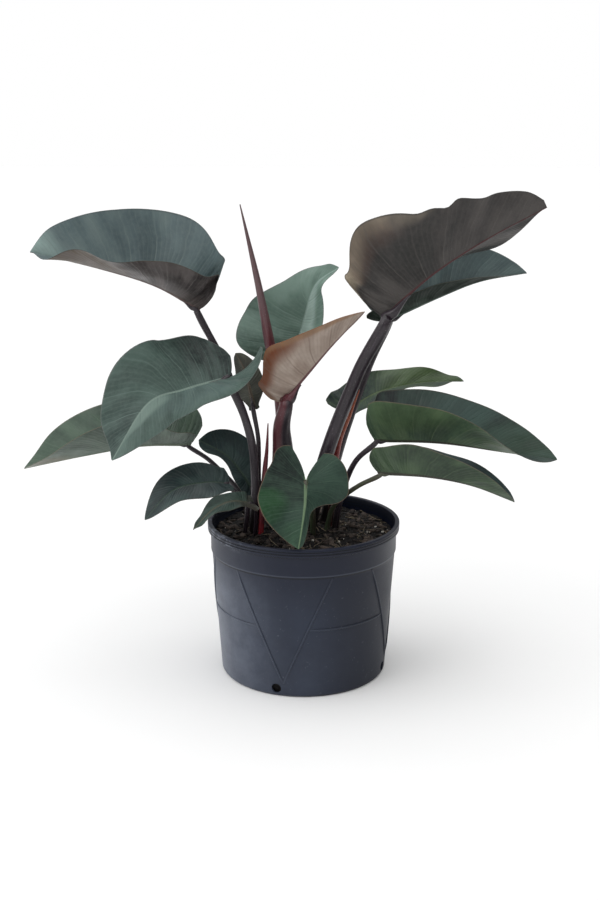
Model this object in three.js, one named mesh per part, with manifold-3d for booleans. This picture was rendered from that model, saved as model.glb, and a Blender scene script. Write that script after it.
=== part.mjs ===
// A congo rojo philodendron in a nursery pot: pot, soil, stalks, heart-shaped blades and
// unopened leaves. Millimetres, +Z up, origin at the centre of the pot's underside.
import * as THREE from 'three';
import Module from 'manifold-3d';
import { mergeVertices } from 'three/addons/utils/BufferGeometryUtils.js';

const wasm = await Module();
wasm.setup();

// Driving dimensions
const RIM_DIAMETER = 278;
const BASE_DIAMETER = 240;
const POT_HEIGHT = 225;
const WALL = 2;
const LIP_HEIGHT = 12;
const LIP_DEPTH = 4.5;
const BAND_BOTTOM = 183;
const BAND_STEP = 1.6;
const RIB_WIDTH = 4;
const RIB_HEIGHT = 1.6;
const RIB_MIDDLE = 104;
const RIB_FOOT = 20;
const RIB_PERIOD = 90;
const RIB_SPAN = 62;
const RIB_CENTRE = -13.5;
const DRAIN_DIAMETER = 14;
const DRAIN_COUNT = 4;
const DRAIN_TURN = -18.5;
const SOIL_TOP = 208;
const SOIL_BUMP = 3;
const CHIP_COUNT = 16;
const STALK_DEPTH = 14;
const BLADE_THICKNESS = 1.3;
const MIDRIB_RIDGE = 2;
const VEIN_SWEEP = 2.2;
const CLEARANCE = 0.34;

const BLADE_ROWS = 13;
const BLADE_COLUMNS = [0, 0.1, 0.52, 1];
const STALK_STEPS = 9;
const STALK_SIDES = 8;
const POT_SIDES = 48;

const rad = THREE.MathUtils.degToRad;
const smooth = (x) => {
  const t = THREE.MathUtils.clamp(x, 0, 1);
  return t * t * (3 - 2 * t);
};

// Colours
const PAINT = {
  pot: { color: 0x3d434d, roughness: 0.5 },
  soil: { color: 0x2f2620, roughness: 0.95 },
  dark: { color: 0x33474a, roughness: 0.35 },
  green: { color: 0x3a5340, roughness: 0.35 },
  maroon: { color: 0x453b38, roughness: 0.4 },
  copper: { color: 0x7d6455, roughness: 0.4 },
  purple: { color: 0x352a33, roughness: 0.35 },
  red: { color: 0x6f3037, roughness: 0.35 },
};

// Closed meshes and cuts
function bodyOf(positions, indices) {
  const geometry = new THREE.BufferGeometry();
  geometry.setAttribute('position', new THREE.Float32BufferAttribute(positions, 3));
  geometry.setIndex(indices);
  return geometry;
}

function solidOf(geometry) {
  const plain = geometry.clone();
  plain.deleteAttribute('normal');
  plain.deleteAttribute('uv');
  const merged = mergeVertices(plain, 1e-4);
  return new wasm.Manifold(new wasm.Mesh({
    numProp: 3,
    vertProperties: new Float32Array(merged.attributes.position.array),
    triVerts: new Uint32Array(merged.index.array),
  }));
}

function geometryOf(solid) {
  const mesh = solid.getMesh();
  return bodyOf(Array.from(mesh.vertProperties), Array.from(mesh.triVerts));
}

// The biggest piece of a cut, without the crumbs
function mainPiece(solid) {
  return solid.decompose().reduce((a, b) => (a.volume() > b.volume() ? a : b));
}

// Pot
const rimRadius = RIM_DIAMETER / 2;
const baseRadius = BASE_DIAMETER / 2;
const neckRadius = rimRadius - LIP_DEPTH;

function wallRadius(z) {
  return THREE.MathUtils.lerp(baseRadius, neckRadius - BAND_STEP, z / BAND_BOTTOM);
}

function potProfile() {
  const lipBottom = POT_HEIGHT - LIP_HEIGHT;
  const inside = neckRadius - WALL;
  return [
    [0, 0],
    [baseRadius - 4, 0],
    [baseRadius - 2, 2],
    [baseRadius - 0.5, 3],
    [wallRadius(9), 9],
    [wallRadius(BAND_BOTTOM), BAND_BOTTOM],
    [neckRadius - 0.2, BAND_BOTTOM + 1],
    [neckRadius, lipBottom - 1],
    [rimRadius - 0.8, lipBottom],
    [rimRadius - 0.3, lipBottom + 3],
    [rimRadius - 1, lipBottom + 4],
    [rimRadius, lipBottom + 7],
    [rimRadius, POT_HEIGHT - 2],
    [rimRadius - 1.5, POT_HEIGHT],
    [inside + 1.5, POT_HEIGHT],
    [inside, POT_HEIGHT - 2],
    [inside - 0.5, BAND_BOTTOM],
    [wallRadius(BAND_BOTTOM) - WALL - 0.5, BAND_BOTTOM - 2],
    [wallRadius(3) - WALL - 1, 3],
    [0, 3],
  ].map(([r, z]) => new THREE.Vector2(r, z));
}

// A raised rib on the wall between two angles and heights
function wallRib(fromAngle, fromZ, toAngle, toZ) {
  const steps = Math.max(2, Math.ceil(Math.abs(toAngle - fromAngle) / 8));
  const aside = rad(toAngle - fromAngle) * wallRadius(fromZ);
  const along = new THREE.Vector2(aside, toZ - fromZ).normalize();
  const section = [[-0.5, -1], [0.5, -1], [0.22, RIB_HEIGHT], [-0.22, RIB_HEIGHT]];
  const positions = [];
  const indices = [];
  for (let i = 0; i <= steps; i += 1) {
    const k = i / steps;
    for (const [across, out] of section) {
      const z = THREE.MathUtils.lerp(fromZ, toZ, k) + across * RIB_WIDTH * along.x;
      const shift = (-across * RIB_WIDTH * along.y) / wallRadius(z);
      const angle = rad(THREE.MathUtils.lerp(fromAngle, toAngle, k)) + shift;
      const r = wallRadius(z) + out;
      positions.push(r * Math.sin(angle), -r * Math.cos(angle), z);
    }
  }
  for (let i = 0; i < steps; i += 1) {
    for (let j = 0; j < 4; j += 1) {
      const a = 4 * i + j;
      const b = 4 * i + ((j + 1) % 4);
      indices.push(a, b, b + 4, a, b + 4, a + 4);
    }
  }
  const last = 4 * steps;
  indices.push(0, 2, 1, 0, 3, 2, last, last + 1, last + 2, last, last + 2, last + 3);
  return bodyOf(positions, indices);
}

function potSolid() {
  let solid = solidOf(uprightLathe(potProfile(), POT_SIDES));
  for (let k = 0; k < 360 / RIB_PERIOD; k += 1) {
    const middle = RIB_CENTRE + k * RIB_PERIOD;
    const half = RIB_SPAN / 2;
    const atMiddle = half * ((RIB_MIDDLE - RIB_FOOT) / (BAND_BOTTOM - RIB_FOOT));
    solid = solid.add(solidOf(wallRib(middle, RIB_FOOT, middle - half, BAND_BOTTOM - 1)));
    solid = solid.add(solidOf(wallRib(middle, RIB_FOOT, middle + half, BAND_BOTTOM - 1)));
    solid = solid.add(solidOf(
      wallRib(middle + atMiddle, RIB_MIDDLE, middle + RIB_PERIOD - atMiddle, RIB_MIDDLE),
    ));
  }
  for (let k = 0; k < DRAIN_COUNT; k += 1) {
    const angle = rad(DRAIN_TURN + (k * 360) / DRAIN_COUNT);
    const hole = new THREE.CylinderGeometry(DRAIN_DIAMETER / 2, DRAIN_DIAMETER / 2, 20, 14);
    hole.rotateZ(Math.PI / 2);
    hole.rotateZ(angle - Math.PI / 2);
    hole.translate(baseRadius * Math.sin(angle), -baseRadius * Math.cos(angle), 12);
    solid = solid.subtract(solidOf(hole));
  }
  return solid;
}

function uprightLathe(profile, sides) {
  const geometry = new THREE.LatheGeometry(profile, sides);
  geometry.rotateX(Math.PI / 2);
  return geometry;
}

// A repeatable random source
function randomSource(seed) {
  let state = seed;
  return () => {
    state = (state * 16807) % 2147483647;
    return state / 2147483647;
  };
}

// Soil: a plug of potting mix with an uneven top and bark chips
function soilTop(x, y) {
  return SOIL_TOP
    + SOIL_BUMP * (Math.sin(x / 17 + 1) * Math.cos(y / 13) + 0.5 * Math.sin(x / 7 - y / 9)) * 0.6;
}

function soilSolid() {
  const sides = POT_SIDES / 2;
  const rings = [0.35, 0.68, 1];
  const bottom = 3 + CLEARANCE;
  const topRadius = wallRadius(BAND_BOTTOM) - WALL - 1;
  const bottomRadius = wallRadius(3) - WALL - 1 - CLEARANCE - 1;
  const positions = [0, 0, soilTop(0, 0)];
  const indices = [];
  for (const ring of rings) {
    for (let k = 0; k < sides; k += 1) {
      const angle = (k / sides) * 2 * Math.PI;
      const x = ring * topRadius * Math.cos(angle);
      const y = ring * topRadius * Math.sin(angle);
      positions.push(x, y, soilTop(x, y) - (ring === 1 ? 2 : 0));
    }
  }
  for (let k = 0; k < sides; k += 1) {
    const angle = (k / sides) * 2 * Math.PI;
    positions.push(topRadius * Math.cos(angle), topRadius * Math.sin(angle), BAND_BOTTOM - 4);
  }
  for (let k = 0; k < sides; k += 1) {
    const angle = (k / sides) * 2 * Math.PI;
    positions.push(bottomRadius * Math.cos(angle), bottomRadius * Math.sin(angle), bottom);
  }
  positions.push(0, 0, bottom);
  const rows = rings.length + 2;
  const at = (row, k) => 1 + row * sides + (k % sides);
  for (let k = 0; k < sides; k += 1) {
    indices.push(0, at(0, k), at(0, k + 1));
    for (let row = 0; row < rows - 1; row += 1) {
      indices.push(at(row, k), at(row + 1, k), at(row + 1, k + 1));
      indices.push(at(row, k), at(row + 1, k + 1), at(row, k + 1));
    }
    indices.push(at(rows - 1, k), 1 + rows * sides, at(rows - 1, k + 1));
  }
  let solid = solidOf(bodyOf(positions, indices));
  const random = randomSource(41);
  for (let n = 0; n < CHIP_COUNT; n += 1) {
    const reach = 20 + 98 * Math.sqrt(random());
    const angle = 2 * Math.PI * random();
    const chip = new THREE.BoxGeometry(5 + 9 * random(), 3 + 4 * random(), 4 + 2 * random());
    chip.rotateY(0.5 * (random() - 0.5));
    chip.rotateZ(Math.PI * random());
    const x = reach * Math.cos(angle);
    const y = reach * Math.sin(angle);
    chip.translate(x, y, soilTop(x, y));
    solid = solid.add(solidOf(chip));
  }
  return solid;
}

// Leaves. The midrib runs through four points; face is the way its top looks. Each half has a
// width and its share at six places along the midrib, the length of its back lobe, the angle
// that it rises from the midrib at the lobe, a third of the way along and at the tip, how far
// it curls on towards its margin, how far its lobe bends up, and a wave along its margin.
const PLACES = [0.06, 0.25, 0.45, 0.65, 0.82, 0.94];
const HEART = [1, 0.97, 0.84, 0.62, 0.36, 0.15];
const OVAL = [0.88, 1, 1, 0.88, 0.64, 0.36];

function half(width, lobe, rise, curl, back, shares = HEART, wave = [0, 1, 0], tip = 0.012) {
  return { width, lobe, rise, curl, back, shares, wave, tip };
}

const LEAVES = [
  {
    name: 'upper_left',
    tone: 'dark',
    rib: [[-150, 45, 524], [-211, 50, 557], [-288, 50, 581], [-385, 45, 605]],
    face: [0, -0.3, 1],
    left: half(86, 14, [72, 36, 22], 15, 60, [0.88, 1, 1, 0.9, 0.65, 0.35], [9, 4, 0.25]),
    right: half(90, 8, [80, 46, 50], 20, 20, [1.06, 1.19, 1.1, 0.91, 0.66, 0.39], [2, 3, 0]),
    stalk: [[-78, 18], [-74, 30, 320], [-106, 42, 424]],
    radius: [5.5, 6, 4.5],
  },
  {
    name: 'upper_right',
    tone: 'maroon',
    rib: [[111, -20, 521], [172, -25, 579], [245, -30, 629], [326, -30, 673]],
    face: [-0.35, 0.9, 0.35],
    left: half(80, 6, [80, 52, 20], 10, 30, [0.88, 1, 1, 0.85, 0.36, 0.05]),
    right: half(100, 5, [26, -8, 5], 20, 0, [0.85, 1.28, 0.98, 0.72, 0.5, 0.35], [6, 4, 0], 0.12),
    stalk: [[4, 4], [31, -6, 318], [73, -14, 436]],
    radius: [11, 10, 8],
  },
  {
    name: 'right_behind',
    tone: 'green',
    rib: [[123, 68, 505], [197, 72, 538], [255, 74, 560], [320, 72, 572]],
    face: [0, -0.3, 1],
    left: half(75, 25, [30, 32, 20], 20, 60, [1, 1, 1, 0.88, 0.62, 0.3]),
    right: half(60, 30, [50, 46, 24], 5, 30),
    stalk: [[26, 34], [53, 36, 318], [93, 52, 434]],
    radius: [6, 5.5, 4.5],
  },
  {
    name: 'middle_left',
    tone: 'dark',
    rib: [[-104, -35, 442], [-162, -65, 431], [-211, -90, 416], [-257, -120, 346]],
    face: [-0.1, -0.2, 1],
    left: half(80, 60, [20, -24, -15], -10, 70, [0.55, 0.46, 0.6, 0.6, 0.38, 0.16]),
    right: half(88, 23, [12, 30, 12], 10, 30, [1.1, 0.99, 1.03, 0.74, 0.52, 0.16]),
    stalk: [[-74, -12], [-69, -22, 290], [-76, -32, 363]],
    radius: [5, 6, 5],
  },
  {
    name: 'far_left',
    tone: 'green',
    rib: [[-170, 60, 321], [-241, 64, 318], [-324, 68, 302], [-415, 68, 282]],
    face: [0, -0.2, 1],
    left: half(65, 16, [50, 55, 30], 10, 50, [0.6, 1, 1, 0.9, 0.6, 0.3]),
    right: half(75, 22, [50, 36, 30], 10, 20, [0.85, 0.97, 1.05, 0.95, 0.68, 0.24]),
    stalk: [[-80, 32], [-86, 40, 242], [-132, 54, 292]],
    radius: [4.5, 3],
  },
  {
    name: 'young',
    tone: 'copper',
    rib: [[-26, -20, 403], [6, -22, 442], [41, -25, 485], [84, -25, 531]],
    face: [-0.2, 1, 0.2],
    left: half(28, 12, [75, 75, 60], 30, 0),
    right: half(68, 9, [5, 5, 5], 15, 0, [0.72, 1, 0.77, 0.5, 0.3, 0.12]),
    stalk: [[-26, 10], [-29, -4, 318], [-31, -14, 368]],
    radius: [14, 17, 9.5],
  },
  {
    name: 'back',
    tone: 'green',
    rib: [[-14, 60, 455], [-1, 60, 498], [16, 60, 555], [50, 55, 582]],
    face: [0, -0.8, 0.6],
    left: half(86, 18, [32, 0, 0], 10, 0, [1.06, 1, 0.9, 0.47, 0.23, 0.14]),
    right: half(55, 25, [40, 46, 40], 10, 0),
    stalk: [[-10, 52], [-24, 50, 300], [-24, 56, 388]],
    radius: [5, 4],
  },
  {
    name: 'small_back',
    tone: 'maroon',
    rib: [[-70, -10, 392], [-76, 0, 416], [-83, 10, 442], [-96, 20, 465]],
    face: [0.2, 1, 0.3],
    left: half(22, 3, [10, 10, 10], 10, 0, [0.4, 0.85, 1, 0.88, 0.64, 0.36]),
    right: half(22, 3, [10, 10, 10], 10, 0, [0.4, 0.85, 1, 0.88, 0.64, 0.36]),
    stalk: [[-62, -6], [-64, -10, 286], [-64, -12, 346]],
    radius: [4, 3],
  },
  {
    name: 'low_left',
    tone: 'dark',
    rib: [[-106, -38, 290], [-138, -52, 295], [-182, -68, 288], [-220, -82, 250]],
    face: [0, -0.3, 1],
    left: half(40, 4, [0, -5, 0], 10, 0, [0.6, 0.97, 0.9, 0.66, 0.4, 0.18]),
    right: half(38, 5, [10, 14, 5], 10, 0, [0.85, 1, 0.95, 0.75, 0.48, 0.22]),
    stalk: [[-86, -18], [-80, -28, 259], [-95, -38, 277]],
    radius: [3.5, 3],
  },
  {
    name: 'inner_left',
    tone: 'dark',
    rib: [[-73, 0, 268], [-89, 5, 293], [-112, 12, 318], [-151, 20, 338]],
    face: [0, -0.8, 0.6],
    left: half(17, 10, [10, 0, 0], 10, 0, [0.9, 0.9, 0.6, 0.5, 0.7, 0.5]),
    right: half(40, 4, [10, 5, 5], 10, 0, [0.45, 0.75, 0.95, 0.9, 0.7, 0.4]),
    stalk: [[-70, 0], [-66, 0, 236], [-69, 0, 254]],
    radius: [3.5, 3],
  },
  {
    name: 'rim_left',
    tone: 'dark',
    rib: [[-71, -75, 272], [-98, -95, 281], [-124, -120, 276], [-149, -135, 253]],
    face: [0, -0.4, 1],
    left: half(18, 5, [0, -5, 0], 10, 0),
    right: half(20, 5, [5, 5, 5], 10, 0),
    stalk: [[-70, -26], [-67, -40, 242], [-68, -62, 264]],
    radius: [3, 2.5],
  },
  {
    name: 'front',
    tone: 'green',
    rib: [[3, -85, 307], [2, -115, 284], [-2, -135, 258], [-7, -145, 229]],
    face: [0, -1, 0.5],
    left: half(66, 45, [15, -38, -35], -20, 0, [1, 0.5, 0.2, 0.16, 0.14, 0.1]),
    right: half(58, 57, [10, 5, 5], 10, 0, [1.02, 1.1, 1.12, 0.94, 0.6, 0.26]),
    stalk: [[14, -14], [12, -44, 267], [9, -66, 290]],
    radius: [4.5, 3.5],
  },
  {
    name: 'right_large',
    tone: 'green',
    rib: [[101, -40, 353], [188, -60, 355], [275, -80, 347], [345, -90, 339]],
    face: [0, 0, 1],
    left: half(82, 11, [50, 50, 30], 10, 30, [0.93, 0.95, 0.85, 0.74, 0.55, 0.26]),
    right: half(72, 11, [57, 58, -5], 10, 30, [1, 0.9, 0.8, 0.78, 0.58, 0.28]),
    stalk: [[44, 8], [53, 2, 253], [71, -22, 313]],
    radius: [5, 3.5],
  },
  {
    name: 'right_low',
    tone: 'green',
    rib: [[105, -85, 318], [168, -105, 319], [226, -120, 311], [283, -130, 291]],
    face: [0, 0, 1],
    left: half(50, 13, [50, 50, 40], 10, 30, [0.8, 0.85, 0.74, 0.68, 0.5, 0.26]),
    right: half(54, 13, [58, 60, 35], 10, 30, [0.9, 1, 0.84, 0.76, 0.6, 0.3]),
    stalk: [[31, 2], [42, -14, 246], [64, -48, 280]],
    radius: [4, 3],
  },
  {
    name: 'right_back',
    tone: 'green',
    rib: [[67, 90, 367], [114, 95, 393], [173, 100, 405], [238, 100, 408]],
    face: [0, -0.3, 1],
    left: half(46, 26, [25, 12, 8], 10, 50, [0.9, 0.94, 0.86, 0.72, 0.5, 0.3]),
    right: half(48, 14, [10, 15, 15], 10, 0, [0.85, 0.95, 0.8, 0.62, 0.36, 0.15]),
    stalk: [[14, 42], [22, 50, 238], [50, 72, 309]],
    radius: [4, 3],
  },
];

// Unopened leaves and sheaths: a tapering roll through its points, with a radius at each
const SPIKES = [
  {
    name: 'tall_spike',
    line: [
      [-34, 36, 194],
      [-31, 28, 336],
      [-36, 22, 418],
      [-47, 16, 477],
      [-65, 8, 573],
      [-87, 4, 674],
    ],
    radii: [8, 8, 8, 7.5, 4.5, 0.8],
  },
  {
    name: 'red_spike',
    line: [[-62, -18, 194], [-56, -18, 289], [-52, -19, 333], [-50, -19, 372]],
    radii: [4, 4.2, 3.5, 0.8],
  },
  {
    name: 'red_sheath',
    line: [[38, 22, 194], [48, 8, 322], [66, 6, 378], [79, 5, 415]],
    radii: [4.5, 5, 4, 0.8],
  },
];

const vector = ([x, y, z]) => new THREE.Vector3(x, y, z);
const curveThrough = (points) => (
  new THREE.CatmullRomCurve3(points.map(vector), false, 'catmullrom', 0.5)
);

// A value given at the back of the lobe, a third of the way along and at the tip
function blend([back, third, tip], a, length, lobe) {
  const split = length / 3;
  if (a < split) {
    return back + (third - back) * smooth((a + lobe) / (split + lobe));
  }
  return third + (tip - third) * smooth((a - split) / (length - split));
}

// A smooth line through evenly spaced points
function splineAt(points, t) {
  const x = THREE.MathUtils.clamp(t, 0, 1) * (points.length - 1);
  const i = Math.min(Math.floor(x), points.length - 2);
  const f = x - i;
  const near = (k) => points[THREE.MathUtils.clamp(k, 0, points.length - 1)];
  const p = [near(i - 1), near(i), near(i + 1), near(i + 2)];
  return [0, 1].map((axis) => {
    const [p0, p1, p2, p3] = p.map((q) => q[axis]);
    return 0.5 * (2 * p1 + (p2 - p0) * f + (2 * p0 - 5 * p1 + 4 * p2 - p3) * f * f
      + (3 * p1 - p0 - 3 * p2 + p3) * f * f * f);
  });
}

// The margin of one half, from the back of its lobe to the tip
function marginPoints(part, length) {
  const { width, lobe, shares, tip } = part;
  const back = [[-1, 0.38], [-0.93, 0.58], [-0.62, 0.8], [-0.2, 0.95]];
  return [
    ...back.map(([a, b]) => [a * lobe, b * shares[0] * width]),
    ...PLACES.map((place, k) => [place * length, shares[k] * width]),
    [length, tip * width],
  ];
}

// The way that the top of the leaf looks, square to the midrib
function leafUp(leaf, curve, u) {
  const along = curve.getTangentAt(u);
  const up = vector(leaf.face);
  return up.addScaledVector(along, -up.dot(along)).normalize();
}

// The point of a half at t from lobe to tip and v from midrib to margin, and its outward way
function bladePoint(leaf, curve, length, part, sign, t, v) {
  const [marginA, marginB] = splineAt(marginPoints(part, length), t);
  const start = length * t ** VEIN_SWEEP;
  const inset = 0.25 * part.width * part.shares[0] * (1 - t) ** 6;
  const bow = 0.22 * part.width * Math.sin(Math.PI * t);
  const a = start + (marginA - start) * v - bow * v * (1 - v);
  const b = marginB * v - inset * v * (1 - v);
  const u = THREE.MathUtils.clamp(a / length, 0, 1);
  const along = curve.getTangentAt(u);
  const up = leafUp(leaf, curve, u);
  const side = new THREE.Vector3().crossVectors(up, along);
  const point = curve.getPointAt(u);
  if (a < 0) {
    const k = Math.max(rad(part.back) / part.lobe, 1e-6);
    const tilt = -a * k;
    point.addScaledVector(along, -Math.sin(tilt) / k);
    point.addScaledVector(up, (1 - Math.cos(tilt)) / k);
    up.multiplyScalar(Math.cos(tilt)).addScaledVector(along, Math.sin(tilt));
  }
  const rise = rad(blend(part.rise, a, length, part.lobe));
  const bend = rad(part.curl || 0.1) / part.width;
  const turned = rise + bend * b;
  const lift = leafUp(leaf, curve, u);
  point.addScaledVector(side, (sign * (Math.sin(turned) - Math.sin(rise))) / bend);
  point.addScaledVector(lift, (Math.cos(rise) - Math.cos(turned)) / bend);
  const normal = up.multiplyScalar(Math.cos(turned));
  normal.addScaledVector(side, -sign * Math.sin(turned));
  const [height, count, phase] = part.wave;
  const swell = height * smooth(4 * t) * smooth(5 * (1 - t)) * v * v;
  point.addScaledVector(normal, swell * Math.sin(2 * Math.PI * (count * t + phase)));
  return { point, normal };
}

function bladeGeometry(leaf) {
  const curve = curveThrough(leaf.rib);
  const length = curve.getLength();
  const columns = BLADE_COLUMNS.length - 1;
  const across = 2 * columns + 1;
  const top = [];
  const bottom = [];
  for (let i = 0; i <= BLADE_ROWS; i += 1) {
    const tail = 1 - i / BLADE_ROWS;
    const depth = BLADE_THICKNESS * (0.6 + 0.4 * tail);
    const up = leafUp(leaf, curve, (i / BLADE_ROWS) ** VEIN_SWEEP);
    for (let j = -columns; j <= columns; j += 1) {
      const [part, sign] = j < 0 ? [leaf.left, 1] : [leaf.right, -1];
      const v = BLADE_COLUMNS[Math.abs(j)];
      const { point, normal } = bladePoint(leaf, curve, length, part, sign, i / BLADE_ROWS, v);
      const way = j === 0 || i === BLADE_ROWS ? up : normal;
      const ridge = j === 0 ? MIDRIB_RIDGE * tail * tail : 0;
      top.push(point);
      bottom.push(point.clone().addScaledVector(way, -depth - ridge));
    }
  }
  const at = (i, j) => i * across + j;
  const upper = [];
  for (let i = 0; i < BLADE_ROWS; i += 1) {
    for (let j = 0; j < across - 1; j += 1) {
      const [p, q, r, s] = [at(i, j), at(i, j + 1), at(i + 1, j + 1), at(i + 1, j)];
      if (j < columns) {
        upper.push([p, q, s], [q, r, s]);
      } else {
        upper.push([p, q, r], [p, r, s]);
      }
    }
  }
  const count = top.length;
  const indices = [];
  for (const [a, b, c] of upper) {
    indices.push(a, b, c, count + a, count + c, count + b);
  }
  const edge = (p, q) => indices.push(count + p, count + q, q, count + p, q, p);
  for (let j = 0; j < across - 1; j += 1) {
    edge(at(0, j), at(0, j + 1));
    edge(at(BLADE_ROWS, j + 1), at(BLADE_ROWS, j));
  }
  for (let i = 0; i < BLADE_ROWS; i += 1) {
    edge(at(i, across - 1), at(i + 1, across - 1));
    edge(at(i + 1, 0), at(i, 0));
  }
  return bodyOf([...top, ...bottom].flatMap((p) => p.toArray()), indices);
}

// A tapering round stalk along a curve, grown by a clearance where it cuts its hole
function stalkGeometry(points, radii, grow = 0) {
  const curve = curveThrough(points);
  const frames = curve.computeFrenetFrames(STALK_STEPS, false);
  const positions = [];
  const indices = [];
  for (let i = 0; i <= STALK_STEPS; i += 1) {
    const u = i / STALK_STEPS;
    const centre = curve.getPointAt(u);
    if (i === 0) {
      centre.addScaledVector(frames.tangents[i], -grow);
    }
    if (i === STALK_STEPS) {
      centre.addScaledVector(frames.tangents[i], grow);
    }
    const place = u * (radii.length - 1);
    const k = Math.min(Math.floor(place), radii.length - 2);
    const radius = grow + THREE.MathUtils.lerp(radii[k], radii[k + 1], place - k);
    for (let j = 0; j < STALK_SIDES; j += 1) {
      const angle = (2 * Math.PI * j) / STALK_SIDES;
      const point = centre.clone();
      point.addScaledVector(frames.normals[i], radius * Math.cos(angle));
      point.addScaledVector(frames.binormals[i], radius * Math.sin(angle));
      positions.push(...point.toArray());
    }
  }
  const ends = [curve.getPointAt(0), curve.getPointAt(1)];
  ends[0].addScaledVector(frames.tangents[0], -grow);
  ends[1].addScaledVector(frames.tangents[STALK_STEPS], grow);
  positions.push(...ends[0].toArray(), ...ends[1].toArray());
  const first = (STALK_STEPS + 1) * STALK_SIDES;
  for (let j = 0; j < STALK_SIDES; j += 1) {
    const n = (j + 1) % STALK_SIDES;
    for (let i = 0; i < STALK_STEPS; i += 1) {
      const a = i * STALK_SIDES;
      const b = a + STALK_SIDES;
      indices.push(a + j, a + n, b + n, a + j, b + n, b + j);
    }
    const last = STALK_STEPS * STALK_SIDES;
    indices.push(first, n, j, first + 1, last + j, last + n);
  }
  return bodyOf(positions, indices);
}

function stalkPoints(leaf) {
  const [[x, y], ...middle] = leaf.stalk;
  return [[x, y, SOIL_TOP - STALK_DEPTH], ...middle, leaf.rib[0]];
}

// The plant, put together
const plant = new THREE.Group();

function place(name, geometry, paint) {
  const material = new THREE.MeshStandardMaterial({ ...PAINT[paint], metalness: 0 });
  const mesh = new THREE.Mesh(geometry, material);
  mesh.name = name;
  plant.add(mesh);
}

let soil = soilSolid();
for (const leaf of LEAVES) {
  const points = stalkPoints(leaf);
  const clearance = solidOf(stalkGeometry(points, leaf.radius, CLEARANCE));
  const blade = mainPiece(solidOf(bladeGeometry(leaf)).subtract(clearance));
  soil = soil.subtract(clearance);
  place(`blade_${leaf.name}`, geometryOf(blade), leaf.tone);
  place(`stalk_${leaf.name}`, stalkGeometry(points, leaf.radius), 'purple');
}
for (const spike of SPIKES) {
  soil = soil.subtract(solidOf(stalkGeometry(spike.line, spike.radii, CLEARANCE)));
  place(spike.name, stalkGeometry(spike.line, spike.radii), 'red');
}
place('soil', geometryOf(mainPiece(soil)), 'soil');
place('pot', geometryOf(potSolid()), 'pot');

export default plant;
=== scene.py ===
"""Looks of a potted congo rojo philodendron: leaves, stalks, rolled leaves, pot, potting mix.

Shapes are written in millimetres and turned into metres as meshes are made.
"""

import math

import bmesh
import bpy
import numpy as np
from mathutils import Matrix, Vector


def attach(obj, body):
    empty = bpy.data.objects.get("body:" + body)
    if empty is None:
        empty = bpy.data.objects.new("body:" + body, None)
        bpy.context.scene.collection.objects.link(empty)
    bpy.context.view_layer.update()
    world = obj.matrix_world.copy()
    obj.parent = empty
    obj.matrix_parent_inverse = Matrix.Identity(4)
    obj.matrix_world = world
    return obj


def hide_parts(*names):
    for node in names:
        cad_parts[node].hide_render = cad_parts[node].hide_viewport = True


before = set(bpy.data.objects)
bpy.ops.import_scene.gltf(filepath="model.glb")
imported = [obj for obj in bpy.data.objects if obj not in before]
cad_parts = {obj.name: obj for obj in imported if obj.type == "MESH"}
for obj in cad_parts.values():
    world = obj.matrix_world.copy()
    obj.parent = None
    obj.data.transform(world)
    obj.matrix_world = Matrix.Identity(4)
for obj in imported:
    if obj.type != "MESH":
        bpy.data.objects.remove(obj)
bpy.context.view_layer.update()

MM = 0.001

# Pot and soil, in millimetres and degrees, as the solids have them
RIM_RADIUS = 139
BASE_RADIUS = 120
POT_HEIGHT = 225
WALL = 2
LIP_HEIGHT = 12
NECK_RADIUS = RIM_RADIUS - 4.5
BAND_BOTTOM = 183
BAND_STEP = 1.6
RIB_WIDTH = 4
RIB_HEIGHT = 1.6
RIB_MIDDLE = 104
RIB_FOOT = 20
RIB_CENTRE = -13.5
RIB_SPAN = 62
RIB_COUNT = 4
RIB_PERIOD = 360 / RIB_COUNT
DRAIN_COUNT = 4
DRAIN_TURN = -18.5
DRAIN_RADIUS = 7
DRAIN_HEIGHT = 12
SOIL_TOP = 208
STALK_FOOT = SOIL_TOP - 14
THICK_STALK = 9

# Leaf blades
LEAF_THICKNESS = 0.7
VEIN_SWEEP = 2.2
VEIN_BOW = 0.22
VEIN_SPACING = 28
LOBE_INSET = 0.25
KEEL = 4
FULL_LENGTH = 220
PUCKER = 1.7
GROOVE = 0.3
TROUGH = 0.6
LEAF_ROWS = 110
LEAF_COLUMNS = 24

# How finely the round pieces are cut
LINE_STEPS = 801
STALK_STEPS = 46
UNDER_STEPS = 13
STALK_SIDES = 24
SHEATH_SIDES = 40
ROLL_STEPS = 90
ROLL_SIDES = 32
POT_SIDES = 192
RIB_STEPS = 70
DRAIN_SIDES = 28
SHARP_ANGLE = math.radians(40)
SOIL_RINGS = 60
SOIL_SIDES = 200

# Blades and their stalks, in millimetres and degrees, as the solids have them
PLACES = [0.06, 0.25, 0.45, 0.65, 0.82, 0.94]
HEART = [1, 0.97, 0.84, 0.62, 0.36, 0.15]


def half(width, lobe, rise, curl, back, shares=HEART, wave=(0, 1, 0), tip=0.012):
    """Half a blade: widths, the angles that it rises, curls and bends back by, and its waves."""
    return dict(
        width=width, lobe=lobe, rise=rise, curl=curl, back=back, shares=shares, wave=wave, tip=tip
    )


LEAVES = {}


def add_leaf(name, **facts):
    """The midrib, its facing, both halves, the stalk (foot x and y, then points) and the looks."""
    LEAVES[name] = facts


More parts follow.
